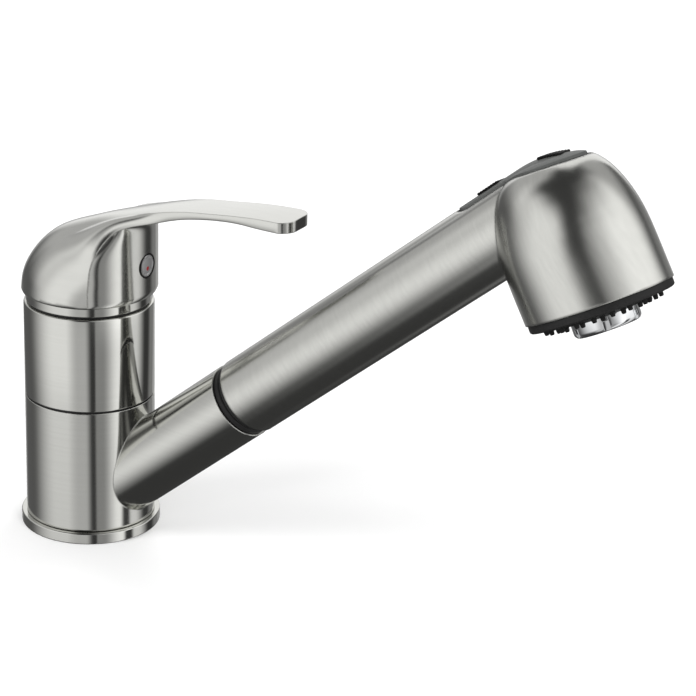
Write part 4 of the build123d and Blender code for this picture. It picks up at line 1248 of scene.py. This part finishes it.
def makeLeverShell():
    g = lever
    arm = makeArm()
    front = makeFrontBlock()
    combine(arm, makeTipCut(), "DIFFERENCE")
    combine(arm, front, "UNION")
    r, lip, skirt = g["frontRadius"], g["lip"], g["skirt"]
    lipRings = [(0, 60), (60, 60), (60, lip + 1.2), (r, lip + 1.2), (r - 0.6, lip), (0, lip)]
    combine(arm, turned("lipCut", lipRings, steps=180), "DIFFERENCE")
    hollow = turned("hollow", [
        (g["boss"], lip - 2), (skirt, lip - 2), (skirt, g["hollowWall"]),
        (skirt - g["hollowSlope"], g["hollowRoof"]), (g["boss"], g["hollowRoof"]), (g["boss"], g["bossEnd"]),
        (0, g["bossEnd"]), (0, lip - 2),
    ])
    combine(arm, hollow, "DIFFERENCE")
    half = g["socketHalf"]
    combine(arm, block("socket", (-half, -half, 90), (half, half, g["socketTop"])), "DIFFERENCE")
    combine(arm, rod("grubHole", g["grubRadius"], 40, facingForward(0, plug["z"]), 32), "DIFFERENCE")
    combine(arm, rod("plugSeat", plug["seat"], 20, facingForward(plug["x"], plug["z"])), "DIFFERENCE")
    return smoothed(cleaned(arm), 32)


stands(makeLeverShell(), "lever", "lever_shell", "nickel", "leverNickel")
plugPlace = facingForward(plug["x"], plug["z"])
indexPlug = turned("indexPlug", plug["rings"], plugPlace, steps=64, smooth=35)
stands(indexPlug, "lever", "index_plug", "chrome", "satinChrome")
stands(turned("indexRing", plug["ring"], plugPlace, steps=64, smooth=35), "lever", shader="black_rubber")
dotPlace = facingForward(plug["x"] + plug["dotOut"], plug["z"] - plug["dotDown"])
stands(turned("indexDot", plug["dot"], dotPlace, steps=32), "lever", shader="red")

print("stage 11: hose")

hose = {
    "radius": 6.0,
    "bore": 3.8,
    "passageX": 7.0,
    "bend": 25.0,
    "end": 65.9,
    "footEnd": 25.0,
    "seam": 0.02,
    "turnStart": (7.5, 0, 10.0),
    "turnEnd": (16.0, 0, 22.0),
    "stretchStart": 32.0,
    "stretchEnd": 57.0,
    "bendSteps": 16,
    "sides": 48,
    # radius and distance along the spout
    "fitting": [
        (6.0, 57.9), (6.6, 57.9), (7.2, 58.5), (7.2, 66.0), (6.9, 66.4), (6.9, 67.6), (7.2, 68.0),
        (7.2, 94.0), (6.8, 94.5), (3.8, 94.5), (3.8, 65.9), (6.0, 65.9), (6.0, 57.9),
    ],
}


def hoseStretch(first, last):
    # points about 1 mm apart on the spout's axis, with their direction
    count = int(last - first) + 1
    places = [first + (last - first) * step / count for step in range(count + 1)]
    return [(onWand(place) / mm, spoutDirection) for place in places]


def hoseRoute():
    # the foot's centre line ends at footEnd and the upper part's starts there
    h = hose
    up = Vector((0, 0, 1))
    corner = Vector((h["passageX"], 0, spout["axisHeight"] + h["passageX"] * math.tan(lean)))
    reach = h["bend"] * math.tan((math.pi / 2 - lean) / 2)
    low, high = corner - up * reach, corner + spoutDirection * reach
    path = [(Vector((h["passageX"], 0, 0)), up)]
    for step in range(h["bendSteps"] + 1):
        t = step / h["bendSteps"]
        point = low * (1 - t) ** 2 + corner * 2 * t * (1 - t) + high * t * t
        path.append((point, ((corner - low) * (1 - t) + (high - corner) * t).normalized()))
    begin = (high - spoutStart / mm).dot(spoutDirection)
    foot = path + hoseStretch(begin, h["footEnd"])[1:]
    return foot, hoseStretch(h["footEnd"] + h["seam"], h["end"])


def hoseLoop(point, way, radius):
    side = Vector((0, 1, 0))
    out = side.cross(way)
    angles = [2 * math.pi * k / hose["sides"] for k in range(hose["sides"])]
    return [point + (side * math.cos(a) + out * math.sin(a)) * radius for a in angles]


def makeHose(name, path):
    outer = [hoseLoop(point, way, hose["radius"]) for point, way in path]
    inner = [hoseLoop(point, way, hose["bore"]) for point, way in reversed(path)]
    obj = skin(name, outer + inner, smooth=50, ring=True)
    return dress(obj, "braid")


footRoute, upperRoute = hoseRoute()
hoseFoot = makeHose("hoseFoot", footRoute)
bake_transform(hoseFoot)
hosePiece = makeHose("hose", upperRoute)
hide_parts("hose")
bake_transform(hosePiece)
hoseFitting = turned("hoseFitting", hose["fitting"], alongSpout(0), steps=96, edge=0.1)
stands(hoseFitting, "hose_end", "hose_fitting", "brass")

print("stage 12: carried-over nodes")

inner = {
    "black_rubber": ["base_gasket", "port_seals"],
    "brass": ["core_body", "cartridge_nut"],
    "white_plastic": [
        "lower_slip_ring", "upper_slip_ring", "water_pipe", "diverter_body", "distributor",
        "cartridge_body", "cartridge_rotor",
    ],
    "black_plastic": ["check_valve", "diverter_plunger", "cartridge_base", "disc_carrier"],
    "disc_ceramic": ["fixed_disc", "moving_disc"],
    "steel": ["rocker_pin", "stem_pin", "stem", "grub_screw"],
}
for shader, names in inner.items():
    for name in names:
        dress(nodes[name], shader)
